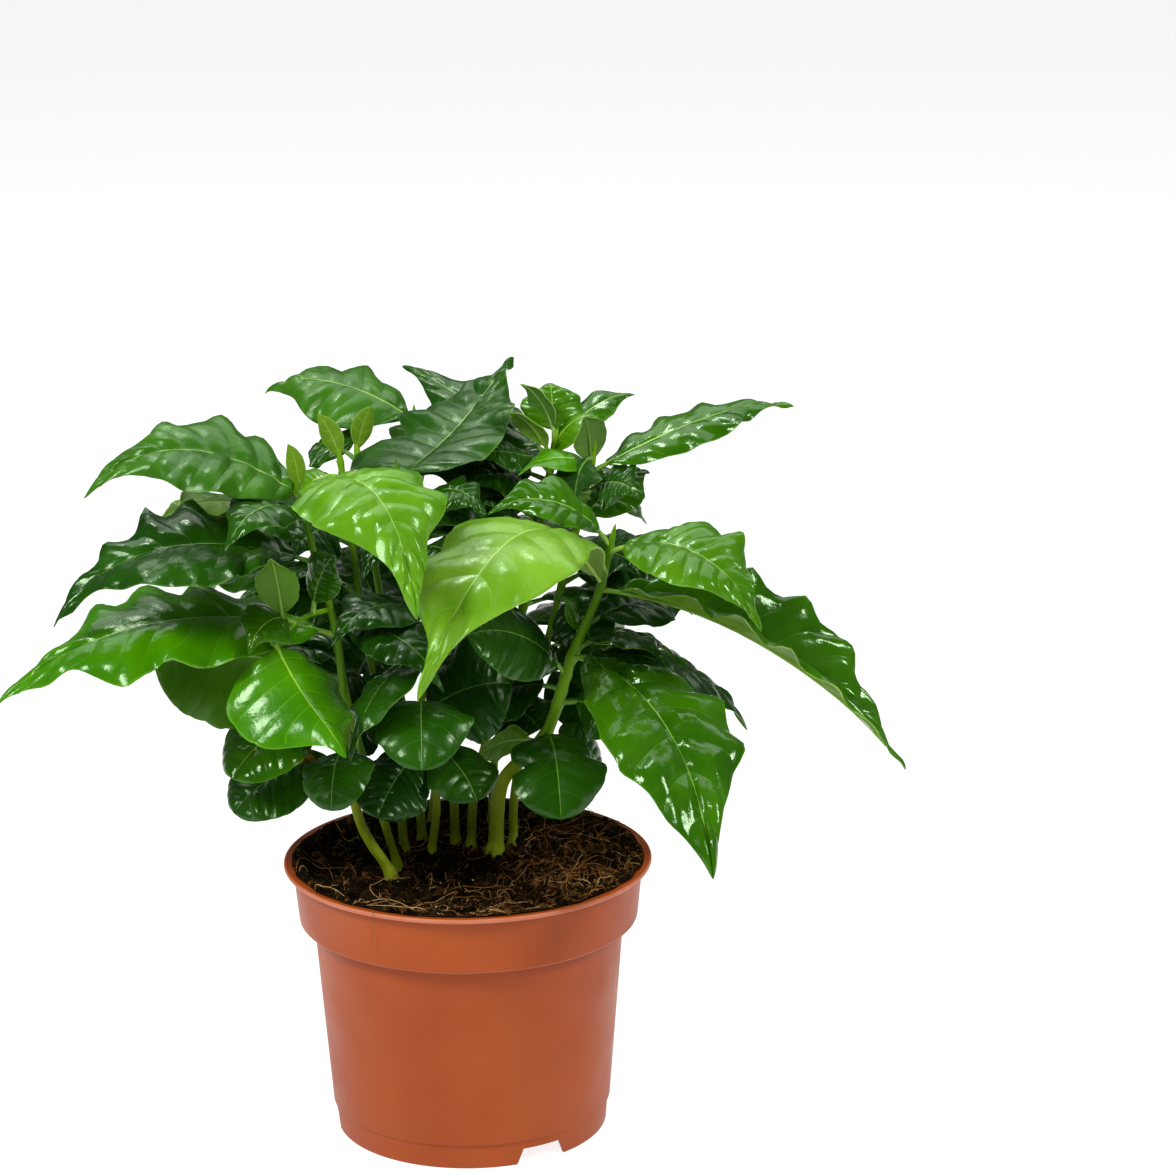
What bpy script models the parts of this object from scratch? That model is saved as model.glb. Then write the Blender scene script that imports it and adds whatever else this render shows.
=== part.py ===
# Potted coffee plant: a turned nursery pot, its soil, bare seedling stems and leafy crowns.
# Sizes are in millimetres, turned to metres where a mesh is made. +Z is up, -Y is the plant's front,
# and the origin is the middle of the pot's underside.
import math
import random
from collections import namedtuple

import bmesh
import bpy
from mathutils import Vector
from mathutils.bvhtree import BVHTree

MM = 0.001
UP = Vector((0.0, 0.0, 1.0))

# Pot
POT_STEPS = 48
BASE_TOP = 6.0
BASE_UNDER = 4.6
LIP_TOP = 91.0
LIP_RADIUS = 60.0
LIP_THICK = 1.5
LIP_ROUND = 0.3
BAND_TOP_RADIUS = 57.0
BAND_LOW_RADIUS = 55.2
BAND_LOW = 71.0
BAND_ROUND = 0.5
STEP_DROP = 0.7
STEP_INNER_LOW = 71.2
STEP_INNER_TOP = 72.6
BODY_TOP_RADIUS = 50.6
BODY_LOW_RADIUS = 45.6
BODY_LOW = 8.5
FOOT_DROP = 0.4
FOOT_TOP_RADIUS = 44.8
FOOT_LOW_RADIUS = 44.3
FOOT_INNER_RADIUS = 43.0
PAD_RADIUS = 9.0
WALL = 1.2
NOTCH_COUNT = 3
NOTCH_FIRST_TURN = -59.6
NOTCH_HEIGHT = 5.4
NOTCH_BELOW = 2.0
NOTCH_INNER = 42.0
NOTCH_OUTER = 48.0
NOTCH_LOW_ANGLE = 26.0
NOTCH_TOP_ANGLE = 18.0
HOLE_COUNT = 6
HOLE_FIRST_TURN = 34.0
HOLE_RING = 27.0
HOLE_RADIUS = 4.0
HOLE_SIDES = 12
HOLE_DEEP = 8.0

# Soil
SOIL_STEPS = 32
SOIL_TOP = 87.4
SOIL_GAP = 0.5
SOIL_RINGS = (14.0, 27.0, 39.0, 48.0)
SOIL_RISE_RIGHT = 0.012
SOIL_RISE_BACK = 0.022
SOIL_LUMP = 0.7
SOIL_LUMP_FREE = 40.0
SOIL_SHRUNK_SIDE = 3.0
SOIL_EDGE_DROP = 0.6
SOIL_SHOULDER = 73.4

# Stems
STEM_CLEAR = 0.4
JOINT_GAP = 0.3
FLARE_HEIGHT = 5.0
FLARE = 1.35
FLARE_STEP = 1.0
FLARE_CROWDING = 1.3
PATH_STEPS = 24
STEM_POINTS = 8
TWIG_POINTS = 9
STEM_BEVEL = 2
TWIG_BEVEL = 1
STEM_TOP_RADIUS = 1.0
TWIG_TOP_RADIUS = 0.85
TWIG_SKIP = 8

# Leaves
LEAF_THIN = 1.0
LEAF_THICK_SHARE = 0.0115
PETIOLE_WIDTH = 1.7
PETIOLE_THICK = 1.5
TIP_WIDTH = 1.1
BLADE_SECTIONS = (0.12, 0.28, 0.46, 0.64, 0.8, 0.92, 1.0)
SMALL_SECTIONS = (0.2, 0.5, 0.8, 1.0)
BLADE_POWER = 0.8
ROUND_POWER = 0.42
ROUND_FULLER = 0.14
BUD_POWER = 0.9
DRIP_START = 0.6
DRIP_LONG = 0.3
DRIP_NARROW = 0.5
PETIOLE_MOST = 0.3
ARCH_LENGTHENS = 0.6
SUNK_SHARE = 0.35
CLEARANCE = 0.5
FILL_SEED = 11
FILL_LOW = 8.0
FILL_HIGH = 10.0
FILL_ROUND_BELOW = 150.0
FILL_LENGTH = (62.0, 88.0)
FILL_ROUND_LENGTH = (34.0, 46.0)
FILL_FRONT_SHARE = 0.55
FILL_BACKWARD = 0.1
FILL_STRAY = (-18.0, 18.0)
FILL_RISE = (-14.0, 16.0)
FILL_ROLL = (-15.0, 15.0)
FILL_WIDE = 0.42
FILL_ROUND_WIDE = 0.74
FILL_ARCH = 8.0
DOME_TOP = 232.0
DOME_SIDE = 0.0055
DOME_BACK = 0.36

# A leaf: where it leaves its limb (height in mm, or share of a side twig), its reach from there
# to the right, to the back and up, its width, its arch and how late it bends, its sideways sweep,
# its roll and twist in degrees, its fold in degrees, its petiole, its widest point and its kind.
Leaf = namedtuple(
    "Leaf", "at right back up width arch lag sweep roll twist fold petiole belly kind limb")
Shoot = namedtuple("Shoot", "name path fork girth leaves twigs fills")

BLADE, ROUND, YOUNG, BUD = "blade", "round", "young", "bud"


def leaf(at, right, back, up, width, arch=8.0, lag=0.0, sweep=0.0, roll=0.0, twist=0.0, fold=-6.0,
         petiole=6.0, belly=0.45, kind=BLADE, limb=0):
    """One leaf's named sizes."""
    return Leaf(at, right, back, up, width, arch, lag, sweep, roll, twist, fold, petiole, belly,
                kind, limb)


SHOOTS = (
    Shoot("left", ((-25, -5, 87), (-36, -8, 112), (-40, -14, 168), (-46, -18, 196), (-51, -20, 220)),
          126, 1.7, (
        leaf(218, -66, -12, 8, 37, arch=13, lag=0.15, roll=-22, fold=0, petiole=2, belly=0.4),
        leaf(216, 36, -60, -17, 46, arch=21, lag=-0.1, sweep=-3, roll=6, petiole=2, belly=0.44),
        leaf(211, -48, 32, -6, 26, arch=5, roll=30),
        leaf(196, -81, -22, -9, 42, arch=14, lag=0.2, roll=-14, fold=9),
        leaf(171, -105, -30, -8, 44, arch=14, roll=-17, fold=-4),
        leaf(219, -3, -1, 17, 6, arch=1, roll=-90, petiole=2, kind=BUD),
        leaf(0.95, 22, -26, -26, 45, arch=-3, roll=8, petiole=2, belly=0.34, fold=-29, limb=1),
        leaf(131, -5, -25, -11, 24, arch=8, lag=0.2, roll=12, kind=ROUND),
        leaf(0.6, -14, -16, -3, 18, arch=5, roll=-30, petiole=4, kind=YOUNG, limb=1),
        leaf(0.3, 8, -6, 22, 16, arch=2, roll=80, petiole=4, kind=YOUNG, limb=1),
        leaf(0.8, -3, -8, 28, 14, arch=2, roll=10, petiole=7, kind=YOUNG, limb=1),
    ), (((-42, -15, 180), (-51, -26, 180), (-60, -36, 175)),), 3),
    Shoot("low_left", ((-23, 4, 87), (-28, 2, 106), (-36, 3, 135), (-42, 8, 165)), 118, 1.4, (
        leaf(150, -60, -10, 10, 42, arch=5, roll=-50, kind=ROUND, petiole=14),
        leaf(136, -38, -28, -8, 30, arch=8, lag=0.2, roll=-12, kind=ROUND, petiole=20),
        leaf(123, -42, -14, -11, 30, arch=7, roll=-22, kind=ROUND, petiole=12),
        leaf(160, -8, -15, 8, 22, arch=4, roll=-10, kind=ROUND),
    ), (), 3),
    Shoot("back_left", ((-21, 20, 87), (-23, 22, 110), (-32, 25, 160), (-39, 27, 218)), 126, 1.5, (
        leaf(217, -7, 0, 17, 7, arch=1, roll=-90, petiole=2, kind=BUD),
        leaf(212, -14, -3, -5, 18, arch=3, roll=-20, kind=YOUNG),
        leaf(190, -60, 28, -2, 34, arch=10, roll=-10),
        leaf(172, -56, 34, -6, 34, arch=8),
    ), (), 5),
    Shoot("back_middle", ((-15, 28, 87), (-17, 31, 112), (-27, 42, 165), (-34, 50, 215)), 130, 1.5, (
        leaf(214, 5, 0, 17, 7, arch=1, roll=90, petiole=2, kind=BUD),
        leaf(211, -17, 12, 3, 22, arch=3, roll=-20),
        leaf(190, -44, 60, 0, 34, arch=8),
    ), (), 5),
    Shoot("back", ((-12, 42, 87), (-10, 46, 112), (-12, 56, 165), (-15, 64, 222)), 128, 1.5, (
        leaf(221, -50, 16, 11, 32, arch=6, roll=-18, fold=-12, petiole=3),
        leaf(200, 14, 72, 6, 34, arch=8),
        leaf(176, -30, 68, 2, 34, arch=8),
    ), (), 5),
    Shoot("front", ((-12, 16, 87), (-10, 13, 107), (-14, 0, 140), (-11, -4, 165), (-9, -2, 182)),
          124, 1.4, (
        leaf(162, -25, -31, -23, 27, arch=7, roll=22, belly=0.42),
        leaf(139, 0, -38, -5, 30, arch=12, roll=0, kind=ROUND),
        leaf(139, 29, -6, 13, 36, arch=3, roll=55, kind=ROUND, petiole=3),
        leaf(126, -16, -28, -13, 25, arch=4, roll=-28, kind=ROUND),
        leaf(128, 16, -21, -12, 23, arch=4, roll=13, kind=ROUND),
    ), (), 3),
    Shoot("middle", ((-4, 26, 87), (-5, 25, 112), (-11, 16, 165), (-20, 8, 218)), 128, 1.5, (
        leaf(217, 38, 66, 26, 44, arch=-5, roll=-8, belly=0.23, petiole=3, fold=2),
        leaf(205, 26, -13, 1, 20, arch=8, lag=0.3, roll=14, petiole=9),
        leaf(190, 34, 20, 8, 28, arch=8),
        leaf(198, 28, 5, 9, 22, arch=2, roll=4),
        leaf(190, 16, -24, 0, 22, arch=5, roll=22),
        leaf(184, 28, -8, 1, 24, arch=6, roll=20),
        leaf(171, -25, -14, -3, 23, arch=6, roll=-6, kind=ROUND),
        leaf(136, 13, -7, -6, 25, arch=4, roll=18, kind=ROUND),
    ), (), 6),
    Shoot("back_right", ((1, 21, 87), (4, 25, 112), (20, 35, 165), (31, 38, 220)), 128, 1.5, (
        leaf(215, -49, 46, 23, 20, arch=0, roll=-20),
        leaf(213, 15, 0, 17, 15, arch=4, roll=20, kind=YOUNG, petiole=3),
        leaf(213, -15, -6, 20, 13, arch=3, roll=20, kind=YOUNG),
        leaf(219, -11, 3, 21, 10, arch=3, roll=60, kind=YOUNG),
        leaf(218, -1, 12, 21, 20, arch=3, kind=YOUNG),
        leaf(217, 27, 12, 17, 13, arch=4, roll=25, kind=YOUNG),
        leaf(201, -26, -9, 9, 24, arch=5, roll=-20),
        leaf(206, 5, -19, -6, 20, arch=4, roll=10),
        leaf(212, -26, -12, 8, 18, arch=2, roll=-20),
        leaf(158, -2, -25, -5, 26, arch=4, kind=ROUND),
        leaf(190, 30, 50, 4, 30, arch=8),
    ), (), 6),
    Shoot("main", ((9, 16, 87), (12, 16, 111), (26, 12, 128), (35, 8, 156), (44, 5, 179), (48, 2, 197)),
          119, 2.6, (
        leaf(156, 40, -90, -41, 43, arch=14, lag=0.0, sweep=-5, roll=8, petiole=8, belly=0.48),
        leaf(149, -32, -30, 24, 32, arch=6, roll=-50, kind=ROUND),
        leaf(181, -59, -80, -9, 50, arch=30, lag=-0.3, roll=-4, petiole=2, belly=0.42),
        leaf(192, 46, -38, -12, 34, arch=12, roll=14, fold=0),
        leaf(194, -39, -12, 17, 21, arch=8, roll=-30, fold=6),
        leaf(179, 98, -12, -55, 40, arch=10, lag=-0.25, roll=11, twist=8, fold=42),
        leaf(155, 58, 14, -26, 34, arch=9, roll=10),
        leaf(139, 20, -2, -8, 24, arch=4, roll=30, kind=ROUND),
        leaf(128, 4, -36, -16, 30, arch=10, kind=ROUND),
        leaf(125, -19, -12, 1, 15, arch=3, roll=60, kind=ROUND),
        leaf(144, -24, 4, -6, 28, arch=4, roll=-20, kind=ROUND),
        leaf(126, 19, 8, -13, 24, arch=5, roll=40, kind=ROUND),
        leaf(166, 36, 22, 0, 25, arch=5, roll=15),
        leaf(161, -5, -4, 17, 8, arch=2, roll=-70, kind=YOUNG, petiole=4),
    ), (), 3),
    Shoot("right", ((15, 22, 87), (17, 24, 112), (30, 29, 165), (41, 31, 207), (44, 33, 225)), 128, 1.5, (
        leaf(211, 68, 20, 19, 22, arch=4, lag=0.2, roll=20, twist=-10, petiole=6),
        leaf(212, -2, -7, 21, 13, arch=2, roll=50, kind=YOUNG, petiole=3),
        leaf(216, -6, -11, -10, 15, arch=4, roll=-20, kind=YOUNG, petiole=3),
        leaf(214, -24, -15, 2, 14, arch=3, roll=-45, twist=60, kind=YOUNG, petiole=3),
        leaf(192, 25, 18, 17, 22, arch=3, roll=20),
        leaf(203, 17, -9, 4, 22, arch=4, roll=30),
        leaf(180, 24, -10, 2, 24, arch=5, roll=25),
        leaf(186, -20, -26, 4, 24, arch=5, roll=-20),
        leaf(178, 52, 30, -6, 32, arch=9),
    ), (), 6),
    Shoot("far_right", ((8, 42, 87), (10, 45, 112), (18, 55, 150), (24, 62, 190)), 126, 1.4, (
        leaf(186, 40, 40, -8, 30, arch=8),
        leaf(170, 4, 66, 0, 32, arch=8),
        leaf(150, 34, 40, -10, 30, arch=7, kind=ROUND),
    ), (), 5),
)


# Scene and mesh helpers
def clear_scene():
    for obj in list(bpy.data.objects):
        bpy.data.objects.remove(obj, do_unlink=True)


def new_collection(name):
    collection = bpy.data.collections.new(name)
    bpy.context.scene.collection.children.link(collection)
    return collection


def material(name, colour, roughness):
    made = bpy.data.materials.new(name)
    made.use_nodes = True
    shader = made.node_tree.nodes["Principled BSDF"]
    shader.inputs["Base Color"].default_value = (*colour, 1.0)
    shader.inputs["Roughness"].default_value = roughness
    made.diffuse_color = (*colour, 1.0)
    return made


def link_mesh(name, mesh, collection, mat=None):
    obj = bpy.data.objects.new(name, mesh)
    if mat:
        mesh.materials.append(mat)
    collection.objects.link(obj)
    return obj


def as_mesh(obj, name, collection, mat=None):
    """The evaluated object as a welded mesh object of its own, in place of the first."""
    bpy.context.view_layer.update()
    graph = bpy.context.evaluated_depsgraph_get()
    mesh = bpy.data.meshes.new_from_object(obj.evaluated_get(graph))
    work = bmesh.new()
    work.from_mesh(mesh)
    bmesh.ops.remove_doubles(work, verts=work.verts, dist=1e-6)
    bmesh.ops.recalc_face_normals(work, faces=work.faces)
    work.to_mesh(mesh)
    work.free()
    mesh.materials.clear()
    made = bpy.data.objects.new(name, mesh)
    made.matrix_world = obj.matrix_world
    if mat:
        mesh.materials.append(mat)
    bpy.data.objects.remove(obj, do_unlink=True)
    collection.objects.link(made)
    return made


def turned(name, profile, steps, collection):
    """A profile of (radius, height) pairs in mm, turned about the upright axis."""
    mesh = bpy.data.meshes.new(name)
    verts = [(r * MM, 0.0, z * MM) for r, z in profile]
    edges = [(i, i + 1) for i in range(len(verts) - 1)]
    mesh.from_pydata(verts, edges, [])
    obj = link_mesh(name, mesh, collection)
    screw = obj.modifiers.new("turn", "SCREW")
    screw.steps = steps
    screw.render_steps = steps
    screw.use_merge_vertices = True
    screw.merge_threshold = 0.00005
    return obj


def tube(name, points, radii, bevel, collection):
    """A capped tube through points in mm, with a radius in mm at each."""
    curve = bpy.data.curves.new(name + "_line", "CURVE")
    curve.dimensions = "3D"
    curve.bevel_depth = MM
    curve.bevel_resolution = bevel
    curve.use_fill_caps = True
    spline = curve.splines.new("POLY")
    spline.points.add(len(points) - 1)
    for slot, point, radius in zip(spline.points, points, radii):
        slot.co = (*(point * MM), 1.0)
        slot.radius = radius
    obj = bpy.data.objects.new(name + "_line", curve)
    collection.objects.link(obj)
    return as_mesh(obj, name, collection)


# Pot
def pot_profile():
    inner_band_low = BAND_LOW_RADIUS - WALL
    inner_band_top = BAND_TOP_RADIUS - WALL
    inner_body_top = BODY_TOP_RADIUS - WALL
    inner_body_low = BODY_LOW_RADIUS - WALL
    return (
        (0.0, WALL),
        (PAD_RADIUS - WALL, WALL),
        (PAD_RADIUS, BASE_TOP),
        (inner_body_low, BASE_TOP),
        (inner_body_top, STEP_INNER_LOW),
        (inner_band_low, STEP_INNER_TOP),
        (inner_band_top, LIP_TOP),
        (LIP_RADIUS - LIP_ROUND, LIP_TOP),
        (LIP_RADIUS, LIP_TOP - LIP_ROUND),
        (LIP_RADIUS, LIP_TOP - LIP_THICK),
        (BAND_TOP_RADIUS, LIP_TOP - LIP_THICK - LIP_ROUND),
        (BAND_LOW_RADIUS, BAND_LOW + BAND_ROUND),
        (BAND_LOW_RADIUS - BAND_ROUND, BAND_LOW),
        (BODY_TOP_RADIUS, BAND_LOW - STEP_DROP),
        (BODY_LOW_RADIUS, BODY_LOW),
        (FOOT_TOP_RADIUS, BODY_LOW - FOOT_DROP),
        (FOOT_LOW_RADIUS, 0.0),
        (FOOT_INNER_RADIUS, 0.0),
        (FOOT_INNER_RADIUS, BASE_UNDER),
        (PAD_RADIUS + WALL, BASE_UNDER),
        (PAD_RADIUS, 0.0),
        (0.0, 0.0),
    )


def notch_cutter(turn, cutters):
    """A wedge through the foot ring, wider at the ground than at its top."""
    work = bmesh.new()
    made = bmesh.ops.create_cube(work, size=1.0)
    for vert in made["verts"]:
        top = vert.co.z > 0
        outer = vert.co.x > 0
        side = 1.0 if vert.co.y > 0 else -1.0
        angle = (NOTCH_TOP_ANGLE if top else NOTCH_LOW_ANGLE) / 2.0
        reach = NOTCH_OUTER if outer else NOTCH_INNER
        height = NOTCH_HEIGHT if top else -NOTCH_BELOW
        way = math.radians(turn + side * angle)
        vert.co = Vector((reach * math.cos(way), reach * math.sin(way), height)) * MM
    mesh = bpy.data.meshes.new("notch_cutter")
    if work.calc_volume(signed=True) < 0.0:
        bmesh.ops.reverse_faces(work, faces=work.faces)
    work.to_mesh(mesh)
    work.free()
    return link_mesh("notch_cutter", mesh, cutters)


def hole_cutter(turn, cutters):
    work = bmesh.new()
    bmesh.ops.create_cone(work, cap_ends=True, segments=HOLE_SIDES, radius1=HOLE_RADIUS * MM,
                          radius2=HOLE_RADIUS * MM, depth=HOLE_DEEP * MM)
    way = math.radians(turn)
    middle = Vector((HOLE_RING * math.cos(way), HOLE_RING * math.sin(way), (BASE_TOP + BASE_UNDER) / 2))
    bmesh.ops.translate(work, verts=work.verts, vec=middle * MM)
    mesh = bpy.data.meshes.new("hole_cutter")
    work.to_mesh(mesh)
    work.free()
    return link_mesh("hole_cutter", mesh, cutters)


def build_pot(parts, cutters):
    pot = turned("pot", pot_profile(), POT_STEPS, parts)
    pot.data.materials.append(material("terracotta_plastic", (0.43, 0.102, 0.035), 0.42))
    for i in range(NOTCH_COUNT):
        cutter = notch_cutter(NOTCH_FIRST_TURN + 360.0 * i / NOTCH_COUNT, cutters)
        add_cut(pot, cutter)
    for i in range(HOLE_COUNT):
        add_cut(pot, hole_cutter(HOLE_FIRST_TURN + 360.0 * i / HOLE_COUNT, cutters))
    return pot


def add_cut(obj, cutter):
    cutter.hide_render = True
    cutter.display_type = "WIRE"
    cut = obj.modifiers.new("cut", "BOOLEAN")
    cut.operation = "DIFFERENCE"
    cut.solver = "EXACT"
    cut.object = cutter


# Soil
def soil_height(x, y):
    """Height of the soil's surface in mm, highest at the back right, with soft lumps."""
    lump = math.sin(x * 0.16 + 1.3) * math.cos(y * 0.19 - 0.4) + 0.6 * math.sin(x * 0.31 - y * 0.27)
    reach = min(1.0, math.hypot(x, y) / SOIL_LUMP_FREE)
    return SOIL_TOP + SOIL_RISE_RIGHT * x + SOIL_RISE_BACK * y + SOIL_LUMP * lump * reach


def build_soil(parts):
    body_low = BODY_LOW_RADIUS - WALL - SOIL_GAP
    body_top = BODY_TOP_RADIUS - WALL - SOIL_GAP
    band_low = BAND_LOW_RADIUS - WALL - SOIL_GAP
    band_top = band_low + 1.0
    profile = [(0.0, SOIL_TOP)] + [(r, SOIL_TOP) for r in SOIL_RINGS] + [
        (band_top, SOIL_TOP - SOIL_EDGE_DROP),
        (band_low, SOIL_SHOULDER),
        (body_top, STEP_INNER_LOW + SOIL_GAP),
        (body_low, BASE_TOP + SOIL_GAP),
        (0.0, BASE_TOP + SOIL_GAP),
    ]
    soil = as_mesh(turned("soil_turn", profile, SOIL_STEPS, parts), "soil", parts,
                   material("peat_soil", (0.028, 0.016, 0.010), 0.95))
    for vert in soil.data.vertices:
        x, y, z = vert.co / MM
        if z < SOIL_SHOULDER + SOIL_GAP:
            continue
        side = max(0.0, -x / band_top) ** 2
        pull = 1.0 - SOIL_SHRUNK_SIDE * side / band_top
        x, y = x * pull, y * pull
        drop = SOIL_EDGE_DROP if math.hypot(x, y) > SOIL_RINGS[-1] + 1.0 else 0.0
        vert.co = Vector((x, y, soil_height(x, y) - drop)) * MM
    return soil


# Stems and leaves
def curve_through(points, steps):
    """Points in mm on a smooth curve through the given ones."""
    marks = [Vector(p) for p in points]
    ends = [marks[0] * 2 - marks[1]] + marks + [marks[-1] * 2 - marks[-2]]
    path = []
    for a, b, c, d in zip(ends, ends[1:], ends[2:], ends[3:]):
        for i in range(steps):
            t = i / steps
            path.append(0.5 * (2 * b + (c - a) * t + (2 * a - 5 * b + 4 * c - d) * t * t
                               + (3 * b - a - 3 * c + d) * t * t * t))
    path.append(marks[-1].copy())
    return path


def at_height(path, height):
    for low, high in zip(path, path[1:]):
        if high.z >= height:
            share = (height - low.z) / max(1e-6, high.z - low.z)
            return low.lerp(high, max(0.0, min(1.0, share)))
    return path[-1].copy()


def at_share(path, share):
    place = share * (len(path) - 1)
    index = min(int(place), len(path) - 2)
    return path[index].lerp(path[index + 1], place - index)


def stem_radius(shoot, height):
    """The stem's taper from the soil to its top, with the flare over the root."""
    low, high = shoot.path[0][2], shoot.path[-1][2]
    share = max(0.0, min(1.0, (height - low) / (high - low)))
    radius = shoot.girth + (STEM_TOP_RADIUS - shoot.girth) * share
    flare = max(0.0, 1.0 - (height - low) / FLARE_HEIGHT)
    return radius * (1.0 + (FLARE - 1.0) * flare * flare)


def build_stem(shoot, parts, mat):
    """The bare stem: a level cut just above the soil, the flare, the taper and the lean."""
    path = curve_through(shoot.path, PATH_STEPS)
    foot = Vector(shoot.path[0])
    reach = shoot.girth * FLARE
    ground = max(soil_height(foot.x + dx * reach, foot.y + dy * reach)
                 for dx in (-1, 0, 1) for dy in (-1, 0, 1)) + STEM_CLEAR
    first = ground + FLARE_STEP
    heights = [ground, first]
    for i in range(1, STEM_POINTS - 1):
        share = (i / (STEM_POINTS - 2)) ** FLARE_CROWDING
        heights.append(first + (shoot.fork - first) * share)
    points = [at_height(path, h) for h in heights]
    points[0] = Vector((points[1].x, points[1].y, ground))
    radii = [stem_radius(shoot, h) for h in heights]
    stem = tube("stem_" + shoot.name, points, radii, STEM_BEVEL, parts)
    stem.data.materials.append(mat)
    return stem


def twig_points(shoot):
    """The stem's own line above the fork, up into the crown."""
    path = curve_through(shoot.path, PATH_STEPS)
    top = shoot.path[-1][2]
    low = at_height(path, shoot.fork)
    ahead = at_height(path, shoot.fork + 1.0)
    first = low + (ahead - low).normalized() * JOINT_GAP
    heights = [shoot.fork + (top - shoot.fork) * i / (TWIG_POINTS - 1) for i in range(1, TWIG_POINTS)]
    points = [first] + [at_height(path, h) for h in heights]
    return points, [stem_radius(shoot, p.z) for p in points]


def limb_paths(shoot):
    paths = [curve_through(shoot.path, PATH_STEPS)]
    for twig in shoot.twigs:
        paths.append(curve_through(twig, PATH_STEPS))
    return paths


def leaf_base(shoot, paths, item):
    path = paths[item.limb]
    if item.limb == 0:
        return at_height(path, item.at), stem_radius(shoot, item.at)
    return at_share(path, item.at), TWIG_TOP_RADIUS


def midrib(base, item):
    """The control points of the leaf's middle line, from inside its limb to its tip."""
    reach = Vector((item.right, item.back, item.up))
    flat = Vector((item.right, item.back, 0.0))
    out = flat.normalized()
    side = out.cross(UP)
    lift = side.cross(reach.normalized())
    bend = item.arch * 4.0 / 3.0
    swing = side * item.sweep * 4.0 / 3.0
    near = base + reach / 3.0 + lift * bend * (1.0 - item.lag) + swing
    far = base + reach * 2.0 / 3.0 + lift * bend * (1.0 + item.lag) + swing
    return (base, near, far, base + reach), side


def bezier(points, t):
    a, b, c, d = points
    s = 1.0 - t
    place = a * s * s * s + b * 3 * s * s * t + c * 3 * s * t * t + d * t * t * t
    slope = (b - a) * 3 * s * s + (c - b) * 6 * s * t + (d - c) * 3 * t * t
    return place, slope.normalized()


def half_width(item, u):
    """Half the blade's width in mm at a share of its length."""
    belly = item.belly + (ROUND_FULLER if item.kind == ROUND else 0.0)
    power = math.log(0.5) / math.log(belly)
    wave = math.sin(math.pi * u ** power)
    if item.kind == ROUND:
        shape = wave ** ROUND_POWER
    elif item.kind == BUD:
        shape = wave ** BUD_POWER
    else:
        tail = max(0.0, min(1.0, (u - DRIP_START) / DRIP_LONG))
        shape = wave ** BLADE_POWER * (1.0 - DRIP_NARROW * tail * tail * (3.0 - 2.0 * tail))
    return max(TIP_WIDTH / 2.0, item.width / 2.0 * max(0.0, shape))


def leaf_sections(base, item, inset):
    """The leaf's cross-sections, each a middle, an across, a face normal and a half width."""
    points, side = midrib(base, item)
    length = (points[3] - points[0]).length + item.arch * ARCH_LENGTHENS
    start = min(PETIOLE_MOST, item.petiole / length)
    blade = SMALL_SECTIONS if item.kind in (YOUNG, BUD) else BLADE_SECTIONS
    stops = [inset / length, start] + [start + (1.0 - start) * u for u in blade]
    sections = []
    for index, t in enumerate(stops):
        place, along = bezier(points, t)
        face = side.cross(along).normalized()
        across = along.cross(face)
        angle = math.radians(item.roll + item.twist * t)
        turned_face = face * math.cos(angle) + across * math.sin(angle)
        turned_across = across * math.cos(angle) - face * math.sin(angle)
        bare = index < 2
        half = PETIOLE_WIDTH / 2.0 if bare else half_width(item, (t - start) / (1.0 - start))
        sections.append((place, turned_across, turned_face, half, bare))
    return sections, length


def leaf_mesh(base, radius, item, grow=0.0, whole=True):
    """A closed leaf with its petiole; grown by a margin, and only the blade, for a clearance test."""
    sections, length = leaf_sections(base, item, radius * SUNK_SHARE)
    thick = max(LEAF_THIN, length * LEAF_THICK_SHARE)
    if not whole:
        sections = sections[2:]
    fold = math.radians(item.fold)
    work = bmesh.new()
    rings = []
    for place, across, face, half, bare in sections:
        depth = (PETIOLE_THICK if bare else thick) / 2.0 + grow
        lift = 0.0 if bare else half * math.sin(fold)
        wide = half if bare else half * math.cos(fold)
        wide += grow
        ring = []
        for offset, level in ((-wide, lift), (0.0, 0.0), (wide, lift)):
            ring.append(work.verts.new((place + across * offset + face * (level + depth)) * MM))
        for offset, level in ((wide, lift), (0.0, 0.0), (-wide, lift)):
            ring.append(work.verts.new((place + across * offset + face * (level - depth)) * MM))
        rings.append(ring)
    for one, two in zip(rings, rings[1:]):
        for i in range(6):
            j = (i + 1) % 6
            work.faces.new((one[i], one[j], two[j], two[i]))
    for ring in (rings[0], rings[-1]):
        work.faces.new((ring[0], ring[1], ring[4], ring[5]))
        work.faces.new((ring[1], ring[2], ring[3], ring[4]))
    bmesh.ops.recalc_face_normals(work, faces=work.faces)
    bmesh.ops.triangulate(work, faces=work.faces)
    return work


class Crowd:
    """What already stands, so that a leaf that would touch it can be skipped."""

    def __init__(self):
        self.solids = []

    def add(self, owner, whole, blade=None):
        self.solids.append((owner, whole, blade))

    def blocker(self, owner, whole, blade):
        for other, their_whole, their_blade in self.solids:
            if other != owner:
                if whole.overlap(their_whole):
                    return other
            elif blade and their_blade and blade.overlap(their_blade):
                return other
        return None


def try_leaf(shoot, paths, item, crowd):
    """The leaf's mesh, or the name of what it would touch."""
    base, radius = leaf_base(shoot, paths, item)
    trees = []
    for grow, whole in ((CLEARANCE, True), (CLEARANCE, False), (0.0, True), (0.0, False)):
        work = leaf_mesh(base, radius, item, grow, whole)
        trees.append(BVHTree.FromBMesh(work))
        work.free()
    blocker = crowd.blocker(shoot.name, trees[0], None if item.kind == YOUNG else trees[1])
    if blocker:
        return None, blocker
    crowd.add(shoot.name, trees[2], trees[3])
    return leaf_mesh(base, radius, item), None


def dome_height(x, y):
    """The crown's upper limit for its hidden leaves: lower to the sides and to the back."""
    return DOME_TOP - DOME_SIDE * x * x - DOME_BACK * y


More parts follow.
